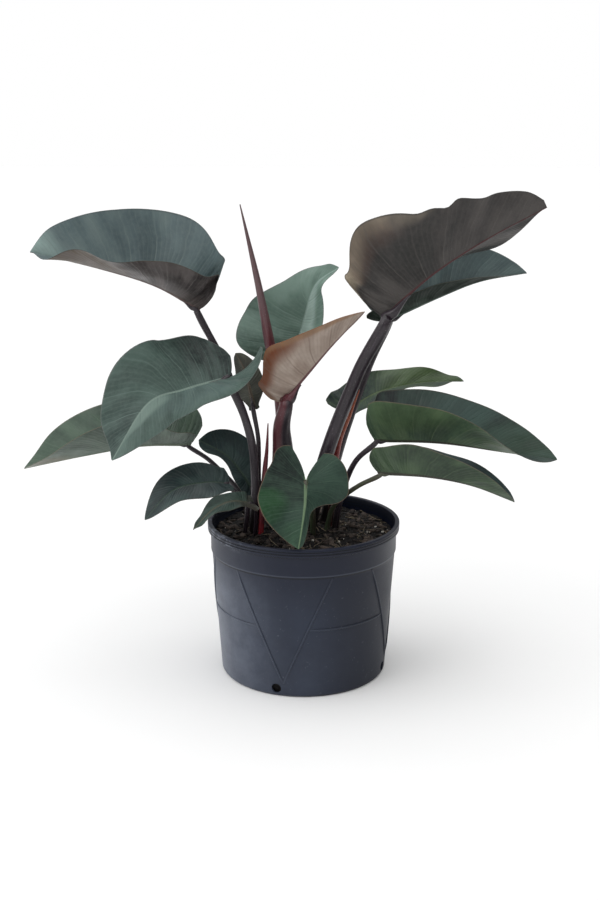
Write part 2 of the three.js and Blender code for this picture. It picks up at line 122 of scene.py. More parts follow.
add_leaf(
    "upper_left",
    rib=[[-150, 45, 524], [-211, 50, 557], [-288, 50, 581], [-385, 45, 605]],
    face=[0, -0.3, 1],
    left=half(86, 14, [72, 36, 22], 15, 60, [0.88, 1, 1, 0.9, 0.65, 0.35], [9, 4, 0.25]),
    right=half(90, 8, [80, 46, 50], 20, 20, [1.06, 1.19, 1.1, 0.91, 0.66, 0.39], [2, 3, 0]),
    stalk=[[-78, 18], [-74, 30, 320], [-106, 42, 424]],
    radius=[5.5, 6, 4.5], looks=("slate", "mauve"), slot="leaf_dark",
)
add_leaf(
    "upper_right",
    rib=[[111, -20, 521], [172, -25, 579], [245, -30, 629], [326, -30, 673]],
    face=[-0.35, 0.9, 0.35],
    left=half(80, 6, [80, 52, 20], 10, 30, [0.88, 1, 1, 0.85, 0.36, 0.05]),
    right=half(
        100, 5, [26, -8, 5], 20, 0, [0.85, 1.28, 0.98, 0.72, 0.5, 0.35], [6, 4, 0], 0.12
    ),
    stalk=[[4, 4], [31, -6, 318], [73, -14, 436]],
    bumps=[
        (-1, 0.45, -5, 0.045), (-1, 0.57, -4, 0.035), (-1, 0.64, 6, 0.04), (-1, 0.74, -3, 0.04),
    ],
    radius=[11, 10, 8], looks=("teal", "maroon"), slot="leaf_maroon",
)
add_leaf(
    "right_behind",
    rib=[[123, 68, 505], [197, 72, 538], [255, 74, 560], [320, 72, 572]],
    face=[0, -0.3, 1],
    left=half(75, 25, [30, 32, 20], 20, 60, [1, 1, 1, 0.88, 0.62, 0.3]),
    right=half(60, 30, [50, 46, 24], 5, 30),
    stalk=[[26, 34], [53, 36, 318], [93, 52, 434]],
    radius=[6, 5.5, 4.5], looks=("teal", "shaded_under"), slot="leaf_green",
)
add_leaf(
    "middle_left",
    rib=[[-104, -35, 442], [-162, -65, 431], [-211, -90, 416], [-257, -120, 346]],
    face=[-0.1, -0.2, 1],
    left=half(80, 60, [20, -24, -15], -10, 70, [0.55, 0.46, 0.6, 0.6, 0.38, 0.16]),
    right=half(88, 23, [12, 30, 12], 10, 30, [1.1, 0.99, 1.03, 0.74, 0.52, 0.16]),
    stalk=[[-74, -12], [-69, -22, 290], [-76, -32, 363]],
    radius=[5, 6, 5], looks=("ridge", "shade"), slot="leaf_dark",
)
add_leaf(
    "far_left",
    rib=[[-170, 60, 321], [-241, 64, 318], [-324, 68, 302], [-415, 68, 282]],
    face=[0, -0.2, 1],
    left=half(65, 16, [50, 55, 30], 10, 50, [0.6, 1, 1, 0.9, 0.6, 0.3]),
    right=half(75, 22, [50, 36, 30], 10, 20, [0.85, 0.97, 1.05, 0.95, 0.68, 0.24]),
    stalk=[[-80, 32], [-86, 40, 242], [-132, 54, 292]],
    radius=[4.5, 3], relief=0.35, looks=("grass", "dusty"), slot="leaf_green",
)
add_leaf(
    "young",
    rib=[[-26, -20, 403], [6, -22, 442], [41, -25, 485], [84, -25, 531]],
    face=[-0.2, 1, 0.2],
    left=half(28, 12, [75, 75, 60], 30, 0),
    right=half(68, 9, [5, 5, 5], 15, 0, [0.72, 1, 0.77, 0.5, 0.3, 0.12]),
    stalk=[[-26, 10], [-29, -4, 318], [-31, -14, 368]],
    radius=[14, 17, 9.5], looks=("bronze", "copper"), slot="leaf_copper", skin="sheath",
)
add_leaf(
    "back",
    rib=[[-14, 60, 455], [-1, 60, 498], [16, 60, 555], [50, 55, 582]],
    face=[0, -0.8, 0.6],
    left=half(86, 18, [32, 0, 0], 10, 0, [1.06, 1, 0.9, 0.47, 0.23, 0.14]),
    right=half(55, 25, [40, 46, 40], 10, 0),
    stalk=[[-10, 52], [-24, 50, 300], [-24, 56, 388]],
    radius=[5, 4], looks=("pale", "leafy"), slot="leaf_green",
)
add_leaf(
    "small_back",
    rib=[[-70, -10, 392], [-76, 0, 416], [-83, 10, 442], [-96, 20, 465]],
    face=[0.2, 1, 0.3],
    left=half(22, 3, [10, 10, 10], 10, 0, [0.4, 0.85, 1, 0.88, 0.64, 0.36]),
    right=half(22, 3, [10, 10, 10], 10, 0, [0.4, 0.85, 1, 0.88, 0.64, 0.36]),
    stalk=[[-62, -6], [-64, -10, 286], [-64, -12, 346]],
    radius=[4, 3], looks=("green", "olive"), slot="leaf_maroon",
)
add_leaf(
    "low_left",
    rib=[[-106, -38, 290], [-138, -52, 295], [-182, -68, 288], [-220, -82, 250]],
    face=[0, -0.3, 1],
    left=half(40, 4, [0, -5, 0], 10, 0, [0.6, 0.97, 0.9, 0.66, 0.4, 0.18]),
    right=half(38, 5, [10, 14, 5], 10, 0, [0.85, 1, 0.95, 0.75, 0.48, 0.22]),
    stalk=[[-86, -18], [-80, -28, 259], [-95, -38, 277]],
    radius=[3.5, 3], looks=("deep", "shade"), slot="leaf_dark",
)
add_leaf(
    "inner_left",
    rib=[[-73, 0, 268], [-89, 5, 293], [-112, 12, 318], [-151, 20, 338]],
    face=[0, -0.8, 0.6],
    left=half(17, 10, [10, 0, 0], 10, 0, [0.9, 0.9, 0.6, 0.5, 0.7, 0.5]),
    right=half(40, 4, [10, 5, 5], 10, 0, [0.45, 0.75, 0.95, 0.9, 0.7, 0.4]),
    stalk=[[-70, 0], [-66, 0, 236], [-69, 0, 254]],
    radius=[3.5, 3], looks=("deep", "shade"), slot="leaf_dark",
)
add_leaf(
    "rim_left",
    rib=[[-71, -75, 272], [-98, -95, 281], [-124, -120, 276], [-149, -135, 253]],
    face=[0, -0.4, 1],
    left=half(18, 5, [0, -5, 0], 10, 0),
    right=half(20, 5, [5, 5, 5], 10, 0),
    stalk=[[-70, -26], [-67, -40, 242], [-68, -62, 264]],
    radius=[3, 2.5], frill=(2.5, 4), looks=("worn", "shade"), slot="leaf_dark",
)
add_leaf(
    "front",
    rib=[[3, -85, 307], [2, -115, 284], [-2, -135, 258], [-7, -145, 229]],
    face=[0, -1, 0.5],
    left=half(66, 45, [15, -38, -35], -20, 0, [1, 0.5, 0.2, 0.16, 0.14, 0.1]),
    right=half(58, 57, [10, 5, 5], 10, 0, [1.02, 1.1, 1.12, 0.94, 0.6, 0.26]),
    stalk=[[14, -14], [12, -44, 267], [9, -66, 290]],
    bumps=[(-1, -0.2, -4, 0.16), (-1, -0.46, 2, 0.1), (1, 0.06, -3, 0.06)],
    radius=[4.5, 3.5], looks=("green", "leafy"), slot="leaf_green", skin="greenish",
)
add_leaf(
    "right_large",
    rib=[[101, -40, 353], [188, -60, 355], [275, -80, 347], [345, -90, 339]],
    face=[0, 0, 1],
    left=half(82, 11, [50, 50, 30], 10, 30, [0.93, 0.95, 0.85, 0.74, 0.55, 0.26]),
    right=half(72, 11, [57, 58, -5], 10, 30, [1, 0.9, 0.8, 0.78, 0.58, 0.28]),
    stalk=[[44, 8], [53, 2, 253], [71, -22, 313]],
    radius=[5, 3.5], looks=("dark_sheen", "fresh"), slot="leaf_green",
)
add_leaf(
    "right_low",
    rib=[[105, -85, 318], [168, -105, 319], [226, -120, 311], [283, -130, 291]],
    face=[0, 0, 1],
    left=half(50, 13, [50, 50, 40], 10, 30, [0.8, 0.85, 0.74, 0.68, 0.5, 0.26]),
    right=half(54, 13, [58, 60, 35], 10, 30, [0.9, 1, 0.84, 0.76, 0.6, 0.3]),
    stalk=[[31, 2], [42, -14, 246], [64, -48, 280]],
    radius=[4, 3], looks=("deep", "leafy"), slot="leaf_green", skin="greenish",
)
add_leaf(
    "right_back",
    rib=[[67, 90, 367], [114, 95, 393], [173, 100, 405], [238, 100, 408]],
    face=[0, -0.3, 1],
    left=half(46, 26, [25, 12, 8], 10, 50, [0.9, 0.94, 0.86, 0.72, 0.5, 0.3]),
    right=half(48, 14, [10, 15, 15], 10, 0, [0.85, 0.95, 0.8, 0.62, 0.36, 0.15]),
    stalk=[[14, 42], [22, 50, 238], [50, 72, 309]],
    radius=[4, 3], frill=(3, 4), looks=("lime", "leafy"), slot="leaf_green", skin="greenish",
)

SPIKES = {
    "tall_spike": {
        "line": [
            [-34, 36, 194], [-31, 28, 336], [-36, 22, 418],
            [-47, 16, 477], [-65, 8, 573], [-87, 4, 674],
        ],
        "radii": [8, 8, 8, 7.5, 4.5, 0.8],
        "skin": "mauve",
    },
    "red_spike": {
        "line": [[-62, -18, 194], [-56, -18, 289], [-52, -19, 333], [-50, -19, 372]],
        "radii": [4, 4.2, 3.5, 0.8],
        "skin": "red",
    },
    "red_sheath": {
        "line": [[38, 22, 194], [48, 8, 322], [66, 6, 378], [79, 5, 415]],
        "radii": [4.5, 5, 4, 0.8],
        "skin": "orange",
    },
}


# Numbers
def smooth(x):
    t = np.clip(x, 0, 1)
    return t * t * (3 - 2 * t)


def unit(v):
    return v / np.maximum(np.linalg.norm(v, axis=-1, keepdims=True), 1e-12)


def near_points(points, t):
    """The four points by which a smooth line runs at each share t, and how far past the second."""
    spans = len(points) - 3
    x = np.clip(t, 0, 1) * spans
    i = np.minimum(np.floor(x).astype(int), spans - 1)
    return [points[i + k] for k in range(4)], (x - i)[..., None]


def curve_at(near, f):
    """A smooth curve through the middle two of four points."""
    p0, p1, p2, p3 = near
    return 0.5 * (
        2 * p1
        + (p2 - p0) * f
        + (2 * p0 - 5 * p1 + 4 * p2 - p3) * f * f
        + (3 * p1 - p0 - 3 * p2 + p3) * f * f * f
    )


class Line:
    """A smooth line through points, read by its share of arc length."""

    def __init__(self, points):
        p = np.array(points, float)
        self.points = np.vstack([2 * p[0] - p[1], p, 2 * p[-1] - p[-2]])
        self.fine = np.linspace(0, 1, LINE_STEPS)
        places = curve_at(*near_points(self.points, self.fine))
        steps = np.linalg.norm(np.diff(places, axis=0), axis=1)
        self.reach = np.concatenate([[0], np.cumsum(steps)])
        self.length = self.reach[-1]

    def at(self, u):
        """Places and directions at the shares u."""
        t = np.interp(np.clip(u, 0, 1) * self.length, self.reach, self.fine)
        near, f = near_points(self.points, t)
        p0, p1, p2, p3 = near
        way = 0.5 * (
            (p2 - p0)
            + 2 * (2 * p0 - 5 * p1 + 4 * p2 - p3) * f
            + 3 * (3 * p1 - p0 - 3 * p2 + p3) * f * f
        )
        return curve_at(near, f), unit(way)


def margin_at(points, t):
    """How far along and out the margin lies at each share t."""
    p = np.array(points, float)
    out = curve_at(*near_points(np.vstack([p[0], p, p[-1]]), t))
    return out[..., 0], out[..., 1]


# Leaves
def margin_points(part, length):
    """Points of the margin, from the notch at the stalk round the lobe to the tip."""
    back = [[-1, 0.38], [-0.93, 0.58], [-0.62, 0.8], [-0.2, 0.95]]
    points = [[a * part["lobe"], b * part["shares"][0] * part["width"]] for a, b in back]
    for place, share in zip(PLACES, part["shares"]):
        points.append([place * length, share * part["width"]])
    return points + [[length, part["tip"] * part["width"]]]


def rise_along(part, a, length):
    """How steeply the half stands up from the midrib at the distance a."""
    back, third, tip = part["rise"]
    split = length / 3
    near = back + (third - back) * smooth((a + part["lobe"]) / (split + part["lobe"]))
    far = third + (tip - third) * smooth((a - split) / (length - split))
    return np.radians(np.where(a < split, near, far))


def square_up(face, along):
    """The way the blade faces, made square to its midrib."""
    up = np.broadcast_to(np.array(face, float), along.shape)
    return unit(up - along * np.sum(up * along, axis=-1, keepdims=True))


def half_surface(leaf, line, part, sign, t, v):
    """One half of a leaf: points, ways out, distances from the midrib and shares along it."""
    length = line.length
    width = part["width"]
    margin_a, margin_b = margin_at(margin_points(part, length), t)
    for half_sign, place, height, reach in leaf.get("bumps", []):
        near = np.exp(-(((margin_a / length - place) / reach) ** 2))
        margin_b = margin_b + height * near * (half_sign == sign)
    start = length * t**VEIN_SWEEP
    inset = LOBE_INSET * width * part["shares"][0] * (1 - t) ** 6
    a = start + (margin_a - start) * v - VEIN_BOW * width * np.sin(np.pi * t) * v * (1 - v)
    b = margin_b * v - inset * v * (1 - v)
    u = np.clip(a / length, 0, 1)
    point, along = line.at(u)
    lift = square_up(leaf["face"], along)
    side = np.cross(lift, along)
    k = max(math.radians(part["back"]) / part["lobe"], 1e-6)
    tilt = (np.maximum(-a, 0) * k)[..., None]
    point = point - along * np.sin(tilt) / k + lift * (1 - np.cos(tilt)) / k
    up = lift * np.cos(tilt) + along * np.sin(tilt)
    rise = rise_along(part, a, length)
    bend = math.radians(part["curl"] or 0.1) / width
    turned = rise + bend * b
    point = point + side * (sign * (np.sin(turned) - np.sin(rise)) / bend)[..., None]
    point = point + lift * ((np.cos(rise) - np.cos(turned)) / bend)[..., None]
    normal = up * np.cos(turned)[..., None] - side * (sign * np.sin(turned))[..., None]
    height, count, phase = part["wave"]
    swell = height * smooth(4 * t) * smooth(5 * (1 - t)) * v * v
    swell = swell * np.sin(2 * np.pi * (count * t + phase))
    frill, turns = leaf.get("frill", (0, 1))
    fade = smooth(4 * t) * smooth(6 * (1 - t)) * v**3
    swell = swell + frill * fade * np.sin(2 * np.pi * turns * t + 2 * sign)
    point = point + normal * swell[..., None]
    keel = smooth(b / KEEL)[..., None]
    way = unit(lift * (1 - keel) + normal * keel)
    return point, way, b, u


def vein_count(length):
    return round(length / VEIN_SPACING) + 3


def leaf_surface(leaf, line):
    """The leaf as a grid of rows from lobe to tip and columns from margin to margin."""
    steps = np.linspace(0, 1, LEAF_COLUMNS + 1) ** 1.35
    steps = np.append(steps[:-1], [0.985, 1])
    rows = np.linspace(0, 1, LEAF_ROWS + 1)
    t, v = np.meshgrid(rows, steps, indexing="ij")
    left = half_surface(leaf, line, leaf["left"], 1, t, v)
    right = half_surface(leaf, line, leaf["right"], -1, t, v)
    both = [np.concatenate([x[:, :0:-1], y], axis=1) for x, y in zip(left, right)]
    t = np.concatenate([t[:, :0:-1], t], axis=1)
    v = np.concatenate([v[:, :0:-1], v], axis=1)
    return (*both, t, v)


def leaf_relief(line, relief, b, u, t, v):
    """How far the top and the underside, with its raised veins, stand out."""
    size = min(1.0, line.length / FULL_LENGTH)
    phase = t * vein_count(line.length)
    apart = np.abs(phase - np.round(phase))
    inner = smooth(5 * v) * (1 - v**4)
    swell = PUCKER * relief * size * np.sin(np.pi * np.clip(v, 0, 1))
    swell = swell * (0.5 - 0.5 * np.cos(2 * np.pi * phase))
    swell = swell * (1 - t**3) * smooth(2.2 * t)
    groove = GROOVE * size * np.exp(-((apart / 0.07) ** 2)) * inner
    trough = TROUGH * size * np.exp(-((b / 1.6) ** 2))
    rib = size * (0.4 + 2.0 * (1 - u) ** 1.4)
    ridge = rib * np.sqrt(np.maximum(0, 1 - (b / (1.2 * rib + 0.3)) ** 2))
    raised = GROOVE * size * np.exp(-((apart / 0.05) ** 2)) * inner
    return swell - groove - trough, swell - LEAF_THICKNESS - ridge - raised, phase


def leaf_piece(name, leaf):
    line = Line(leaf["rib"])
    point, way, b, u, t, v = leaf_surface(leaf, line)
    top_relief, low_relief, phase = leaf_relief(line, leaf.get("relief", 1), b, u, t, v)
    top = point + way * top_relief[..., None]
    low = point + way * low_relief[..., None]
    rows, columns = t.shape
    count = rows * columns
    grid = np.arange(count).reshape(rows, columns)
    upper = np.stack([grid[:-1, :-1], grid[:-1, 1:], grid[1:, 1:], grid[1:, :-1]], -1)
    upper = upper.reshape(-1, 4)
    lower = upper[:, ::-1] + count
    border = np.concatenate([grid[0, :-1], grid[:-1, -1], grid[-1, :0:-1], grid[:0:-1, 0]])
    onward = np.roll(border, -1)
    rim = np.stack([border + count, onward + count, onward, border], -1)
    faces = np.concatenate([upper, lower, rim])
    mesh = mesh_from(name, np.concatenate([top.reshape(-1, 3), low.reshape(-1, 3)]), faces)
    facts = np.stack([phase, v, b], -1).reshape(-1, 3)
    add_vectors(mesh, "leaf", np.concatenate([facts, facts]))
    side = np.broadcast_to(np.sign(columns // 2 - np.arange(columns)), t.shape)
    reach = np.stack([t, u, side], -1).reshape(-1, 3)
    add_vectors(mesh, "reach", np.concatenate([reach, reach]))
    piece = new_object(name, mesh)
    top_look, low_look = leaf["looks"]
    mesh.materials.append(LOOKS[top_look])
    mesh.materials.append(LOOKS[low_look])
    index = np.zeros(len(faces), np.int32)
    index[len(upper) :] = 1
    index[len(upper) + len(lower) :] = 0
    mesh.polygons.foreach_set("material_index", index)
    return piece


# Meshes
def mesh_from(name, points, faces, shade_smooth=True):
    mesh = bpy.data.meshes.new(name)
    mesh.from_pydata((np.asarray(points) * MM).tolist(), [], [list(map(int, f)) for f in faces])
    mesh.polygons.foreach_set("use_smooth", np.full(len(mesh.polygons), shade_smooth))
    mesh.update()
    return mesh


def add_vectors(mesh, name, values):
    layer = mesh.attributes.new(name, "FLOAT_VECTOR", "POINT")
    layer.data.foreach_set("vector", np.asarray(values, np.float32).ravel())


def new_object(name, data):
    made = bpy.data.objects.new(name, data)
    bpy.context.scene.collection.objects.link(made)
    return made


def frames_along(path):
    """Two ways square to a path at each of its points, without twist."""
    way = unit(np.gradient(path, axis=0))
    first = np.array([1.0, 0, 0]) if abs(way[0][0]) < 0.8 else np.array([0, 1.0, 0])
    one = np.zeros_like(path)
    one[0] = unit(first - way[0] * np.dot(first, way[0]))
    for k in range(1, len(path)):
        kept = one[k - 1] - way[k] * np.dot(one[k - 1], way[k])
        one[k] = unit(kept)
    return one, np.cross(way, one)


def tube_parts(path, radii, sides, shape=None):
    """A closed round tube: its points, faces and (around, along mm, share) of each point."""
    one, two = frames_along(path)
    reach = np.concatenate([[0], np.cumsum(np.linalg.norm(np.diff(path, axis=0), axis=1))])
    angle = np.linspace(0, 2 * np.pi, sides, endpoint=False)
    share = reach / reach[-1]
    r = np.asarray(radii)[:, None] * np.ones((1, sides))
    if shape is not None:
        r = r * shape(share[:, None], angle[None, :])
    across, over = np.cos(angle)[None, :, None], np.sin(angle)[None, :, None]
    points = path[:, None] + (one[:, None] * across + two[:, None] * over) * r[..., None]
    steps = len(path)
    grid = np.arange(steps * sides).reshape(steps, sides)
    near = np.roll(grid, -1, axis=1)
    quads = np.stack([grid[:-1], near[:-1], near[1:], grid[1:]], -1).reshape(-1, 4)
    ends = steps * sides
    caps = [[ends, int(near[0, k]), int(grid[0, k])] for k in range(sides)]
    caps += [[ends + 1, int(grid[-1, k]), int(near[-1, k])] for k in range(sides)]
    facts = np.broadcast_arrays(angle[None, :], reach[:, None], share[:, None])
    facts = np.vstack([np.stack(facts, -1).reshape(-1, 3), [0, 0, 0], [0, reach[-1], 1]])
    return np.vstack([points.reshape(-1, 3), path[0], path[-1]]), quads.tolist() + caps, facts


def tube_piece(name, path, radii, sides, material, shape=None):
    points, faces, facts = tube_parts(path, radii, sides, shape)
    mesh = mesh_from(name, points, faces)
    add_vectors(mesh, "stalk", facts)
    mesh.materials.append(material)
    return new_object(name, mesh)


class Bag:
    """Many small bodies in one mesh."""

    def __init__(self):
        self.points = []
        self.faces = []
        self.facts = []
        self.count = 0

    def add(self, points, faces, fact):
        self.points.append(np.asarray(points))
        self.faces += [[int(i) + self.count for i in f] for f in faces]
        self.facts.append(np.broadcast_to(np.array(fact, float), (len(points), 3)))
        self.count += len(points)

    def piece(self, name, material, shade_smooth=True):
        mesh = mesh_from(name, np.vstack(self.points), self.faces, shade_smooth)
        add_vectors(mesh, "grain", np.vstack(self.facts))
        mesh.materials.append(material)
        return new_object(name, mesh)


# Materials
def linear(code):
    """A colour as the eye reads it, turned into the shader's numbers."""
    parts = [((code >> shift) & 255) / 255 for shift in (16, 8, 0)]
    return tuple(c / 12.92 if c <= 0.04045 else ((c + 0.055) / 1.055) ** 2.4 for c in parts) + (1,)


class Nodes:
    """Short ways to add nodes to a tree."""

    def __init__(self, tree):
        self.tree = tree

    def put(self, socket, value):
        if isinstance(value, bpy.types.NodeSocket):
            self.tree.links.new(value, socket)
        else:
            socket.default_value = value

    def add(self, kind, inputs=None, **settings):
        node = self.tree.nodes.new(kind)
        for key, value in settings.items():
            setattr(node, key, value)
        for key, value in (inputs or {}).items():
            self.put(node.inputs[key], value)
        return node

    def math(self, operation, a, b=0.0):
        return self.add("ShaderNodeMath", {0: a, 1: b}, operation=operation).outputs[0]

    def plus(self, a, b):
        return self.math("ADD", a, b)

    def minus(self, a, b):
        return self.math("SUBTRACT", a, b)

    def times(self, a, b):
        return self.math("MULTIPLY", a, b)

    def mix(self, factor, a, b):
        node = self.add("ShaderNodeMix", data_type="RGBA")
        for key, value in ((0, factor), (6, a), (7, b)):
            self.put(node.inputs[key], value)
        return node.outputs[2]

    def remap(self, value, low, high, to_low=0.0, to_high=1.0):
        node = self.add("ShaderNodeMapRange", interpolation_type="SMOOTHSTEP")
        for key, x in enumerate([value, low, high, to_low, to_high]):
            self.put(node.inputs[key], x)
        return node.outputs[0]

    def noise(self, vector, scale, detail=3.0, roughness=0.5):
        inputs = {"Vector": vector, "Scale": scale, "Detail": detail, "Roughness": roughness}
        return self.add("ShaderNodeTexNoise", inputs).outputs[0]

    def place(self):
        return self.add("ShaderNodeTexCoord").outputs["Object"]

    def attribute(self, name):
        """The three numbers that a mesh keeps at its points under a name."""
        node = self.add("ShaderNodeAttribute", attribute_name=name)
        return self.add("ShaderNodeSeparateXYZ", {0: node.outputs["Vector"]}).outputs


class Skin(Nodes):
    """The nodes of one material, and its colour so far."""

    def __init__(self, name):
        self.material = bpy.data.materials.new(name)
        self.material.use_nodes = True
        super().__init__(self.material.node_tree)
        self.shader = self.tree.nodes["Principled BSDF"]

    def start(self, factor, one, other):
        self.colour = self.mix(factor, linear(one), linear(other))

    def tint(self, factor, code):
        self.colour = self.mix(factor, self.colour, linear(code))

    def wash(self, value, low, high, share, code):
        """A tint that grows from none to the share as the value goes from low to high."""
        self.tint(self.remap(value, low, high, 0.0, share), code)

    def bump(self, height, strength, distance):
        inputs = {"Height": height, "Strength": strength, "Distance": distance}
        self.put(self.shader.inputs["Normal"], self.add("ShaderNodeBump", inputs).outputs[0])

    def finish(self, roughness, specular):
        self.put(self.shader.inputs["Base Color"], self.colour)
        self.put(self.shader.inputs["Roughness"], roughness)
        self.shader.inputs["Specular IOR Level"].default_value = specular
        return self.material


LOOKS = {}


def leaf_look(
    name, colours, strength, rough, below=False, patches=(),
    shadow=0x141C1A, shine=0.32, sheen_share=0.5, thick=1.9,
):
    """Leaf skin: two mixed colours, patches, painted sheen and shade in bands, side veins with
    finer ones between, midrib, margin.

    Each patch has its half (1 left, -1 right), its place and reach along the margin, its place
    and reach outwards from the midrib, a colour and a share. Some patches are painted highlights
    and some are painted shade.
    """
    base, other, vein, margin, rib = colours
    n = Skin("leaf_" + name)
    where = n.place()
    phase, v, b = n.attribute("leaf")
    t, u, side = n.attribute("reach")
    n.start(n.remap(n.noise(where, 14, 3, 0.55), 0.35, 0.65), base, other)
    ragged = n.times(n.minus(n.noise(where, 22, 3), 0.5), 0.8)
    for half_sign, t_at, t_reach, v_at, v_reach, tint, share in patches:
        far_t = n.math("DIVIDE", n.minus(t, t_at), t_reach)
        far_v = n.math("DIVIDE", n.minus(v, v_at), v_reach)
        far = n.plus(n.times(far_t, far_t), n.times(far_v, far_v))
        near = n.remap(n.plus(far, ragged), 0.2, 1.3, share, 0.0)
        near = n.times(near, n.remap(n.times(side, half_sign), -0.1, 0.1))
        n.tint(near, tint)
    # Painted sheen and painted shade: soft light and dark bands that follow the side veins
    sheen_place = n.add("ShaderNodeCombineXYZ", {0: phase, 1: n.times(v, 0.9), 2: n.times(side, 7.0)})
    soft = n.noise(sheen_place.outputs[0], 1.1, 2)
    n.wash(soft, 0.42, 0.68, sheen_share, vein)
    n.wash(soft, 0.5, 0.3, 0.3, shadow)
    n.wash(n.noise(where, 160, 4, 0.6), 0.35, 0.7, 0.18, vein)
    wander = n.times(n.minus(n.noise(where, 30, 2), 0.5), 0.25)
    phase = n.plus(phase, wander)
    main_line = n.remap(n.math("PINGPONG", phase, 0.5), 0.0, 0.05, 1.0, 0.0)
    fine = n.math("PINGPONG", n.times(phase, 6.0), 0.5)
    fine_line = n.remap(fine, 0.0, 0.32, 1.0, 0.0)
    broken = n.remap(n.noise(where, 26, 2), 0.35, 0.6, 0.45, 1.0)
    main_line = n.times(main_line, n.times(n.remap(v, 0.35, 1.0, 1.0, 0.35), broken))
    n.tint(n.times(main_line, strength), vein)
    n.tint(n.times(fine_line, strength * 0.22), vein)
    reach = n.remap(u, 0.0, 1.0, 3.2 if below else thick, 0.7)
    on_rib = n.remap(n.minus(b, reach), -0.5, 0.7, 1.0, 0.0)
    n.tint(n.times(on_rib, 0.85), rib)
    edge = n.remap(v, 0.975, 0.994)
    n.tint(n.times(edge, 0.7), margin)
    cells = n.noise(where, 900, 2, 0.5)
    height = n.times(cells, 0.25)
    height = n.plus(height, n.times(fine_line, 0.45 if below else -0.4))
    height = n.plus(height, n.times(main_line, 0.7 if below else -0.6))
    n.bump(height, 0.6, 0.0007)
    rough = n.remap(n.noise(where, 45, 3), 0.3, 0.7, rough - 0.06, rough + 0.1)
    LOOKS[name] = n.finish(rough, shine)


SKINS = {}


def stalk_look(
    name, base, other, streak, rough, two_sided=False, foot=None, foot_end=0.22, tip=None
):
    """Stalk skin: long streaks and pale flecks; some change in front, at the foot or the tip. A
    near-black foot is painted shade among the stalks at the soil.
    """
    n = Skin("stalk_" + name)
    around, along, share = n.attribute("stalk")
    turned = n.add(
        "ShaderNodeCombineXYZ",
        {
            0: n.times(n.math("COSINE", around), 2.2),
            1: n.times(n.math("SINE", around), 2.2),
            2: n.times(along, 0.012),
        },
    ).outputs[0]
    streaks = n.noise(turned, 2.6, 5, 0.65)
    blotch = n.remap(n.noise(turned, 0.8, 2), 0.35, 0.65)
    if two_sided:
        blotch = n.remap(n.math("COSINE", around), -0.35, 0.2)
    n.start(blotch, base, other)
    ragged = n.plus(share, n.times(n.minus(streaks, 0.5), 0.3))
    if foot:
        n.wash(ragged, foot_end, 0.45 * foot_end, 0.9, foot)
    if tip:
        n.wash(ragged, 0.5, 0.8, 0.9, tip)
    n.wash(streaks, 0.52, 0.72, 0.45, streak)
    n.wash(n.noise(n.place(), 700, 1), 0.66, 0.74, 0.35, 0x8C7F86)
    n.bump(streaks, 0.35, 0.0008)
    rough = n.remap(streaks, 0.3, 0.7, rough - 0.05, rough + 0.1)
    SKINS[name] = n.finish(rough, 0.5)


def pot_look():
    """Moulded charcoal plastic with flow lines and dust, darker at the lip and band; dust and
    painted light at the left, painted shade at the right, painted highlights and shade at the band
    step, the lip and the ribs, and scuffs with painted highlights at the rim.
    """
    n = Skin("pot_plastic")
    where = n.place()
    across, _, height = n.add("ShaderNodeSeparateXYZ", {0: where}).outputs
    crest, *_ = n.attribute("mould")

    def ring(z, reach, share, code):
        far = n.math("ABSOLUTE", n.minus(height, z * MM))
        n.wash(far, reach * MM, 0.3 * reach * MM, share, code)

    broad = n.noise(where, 7, 4, 0.6)
    n.start(n.remap(broad, 0.35, 0.7), 0x1D2434, 0x283041)
    stretched = n.add("ShaderNodeMapping", {"Vector": where, "Scale": (30, 30, 3)}).outputs[0]
    n.wash(n.noise(stretched, 1.2, 5, 0.6), 0.5, 0.75, 0.25, 0x39404D)
    # Paler low down and at the left: dust low down, and at the left dust with painted light
    low = n.remap(height, 0.0, 0.15, 0.12, 0.02)
    aside = n.remap(across, -0.14, -0.02, 0.62, 0.0)
    cloud = n.remap(n.noise(where, 38, 5, 0.7), 0.25, 0.75, 0.55, 1.0)
    n.tint(n.times(cloud, n.plus(low, aside)), 0x737A88)
    # Painted shade: darker towards the right, away from the light
    n.wash(across, -0.02, 0.1, 0.85, 0x0A1020)
    n.wash(n.noise(where, 240, 2, 0.6), 0.66, 0.74, 0.18, 0x767B85)
    n.wash(height, 0.13, 0.2, 0.8, 0x070F24)
    # Painted highlight along the lower edge of the band step
    ring(BAND_BOTTOM + 1.4, 1.5, 0.2, 0x6A7280)
    # Pale flecks at the left of the rim: scuffs with painted highlights
    worn = n.times(n.remap(height, 0.205, 0.215), n.remap(across, -0.13, -0.06, 0.5, 0.0))
    worn = n.times(worn, n.remap(n.noise(where, 90, 4, 0.7), 0.5, 0.62))
    n.tint(worn, 0x8A919E)
    # Painted shade: dark rings under the band step, under the lip and in the two lip grooves
    for z in (BAND_BOTTOM - 1.4, POT_HEIGHT - LIP_HEIGHT - 0.6, POT_HEIGHT - 8, POT_HEIGHT - 4.2):
        ring(z, 1.7, 0.75, 0x090D16)
    # Painted highlight on the rib crests and painted shade along their sides
    n.wash(crest, 0.3, 0.9, 0.08, 0x6A7280)
    n.wash(crest, -0.2, -0.7, 0.8, 0x0A0D14)
    grain = n.noise(where, 1400, 2, 0.6)
    n.bump(n.plus(n.times(grain, 0.5), broad), 0.25, 0.0005)
    return n.finish(n.remap(broad, 0.3, 0.7, 0.36, 0.5), 0.3)


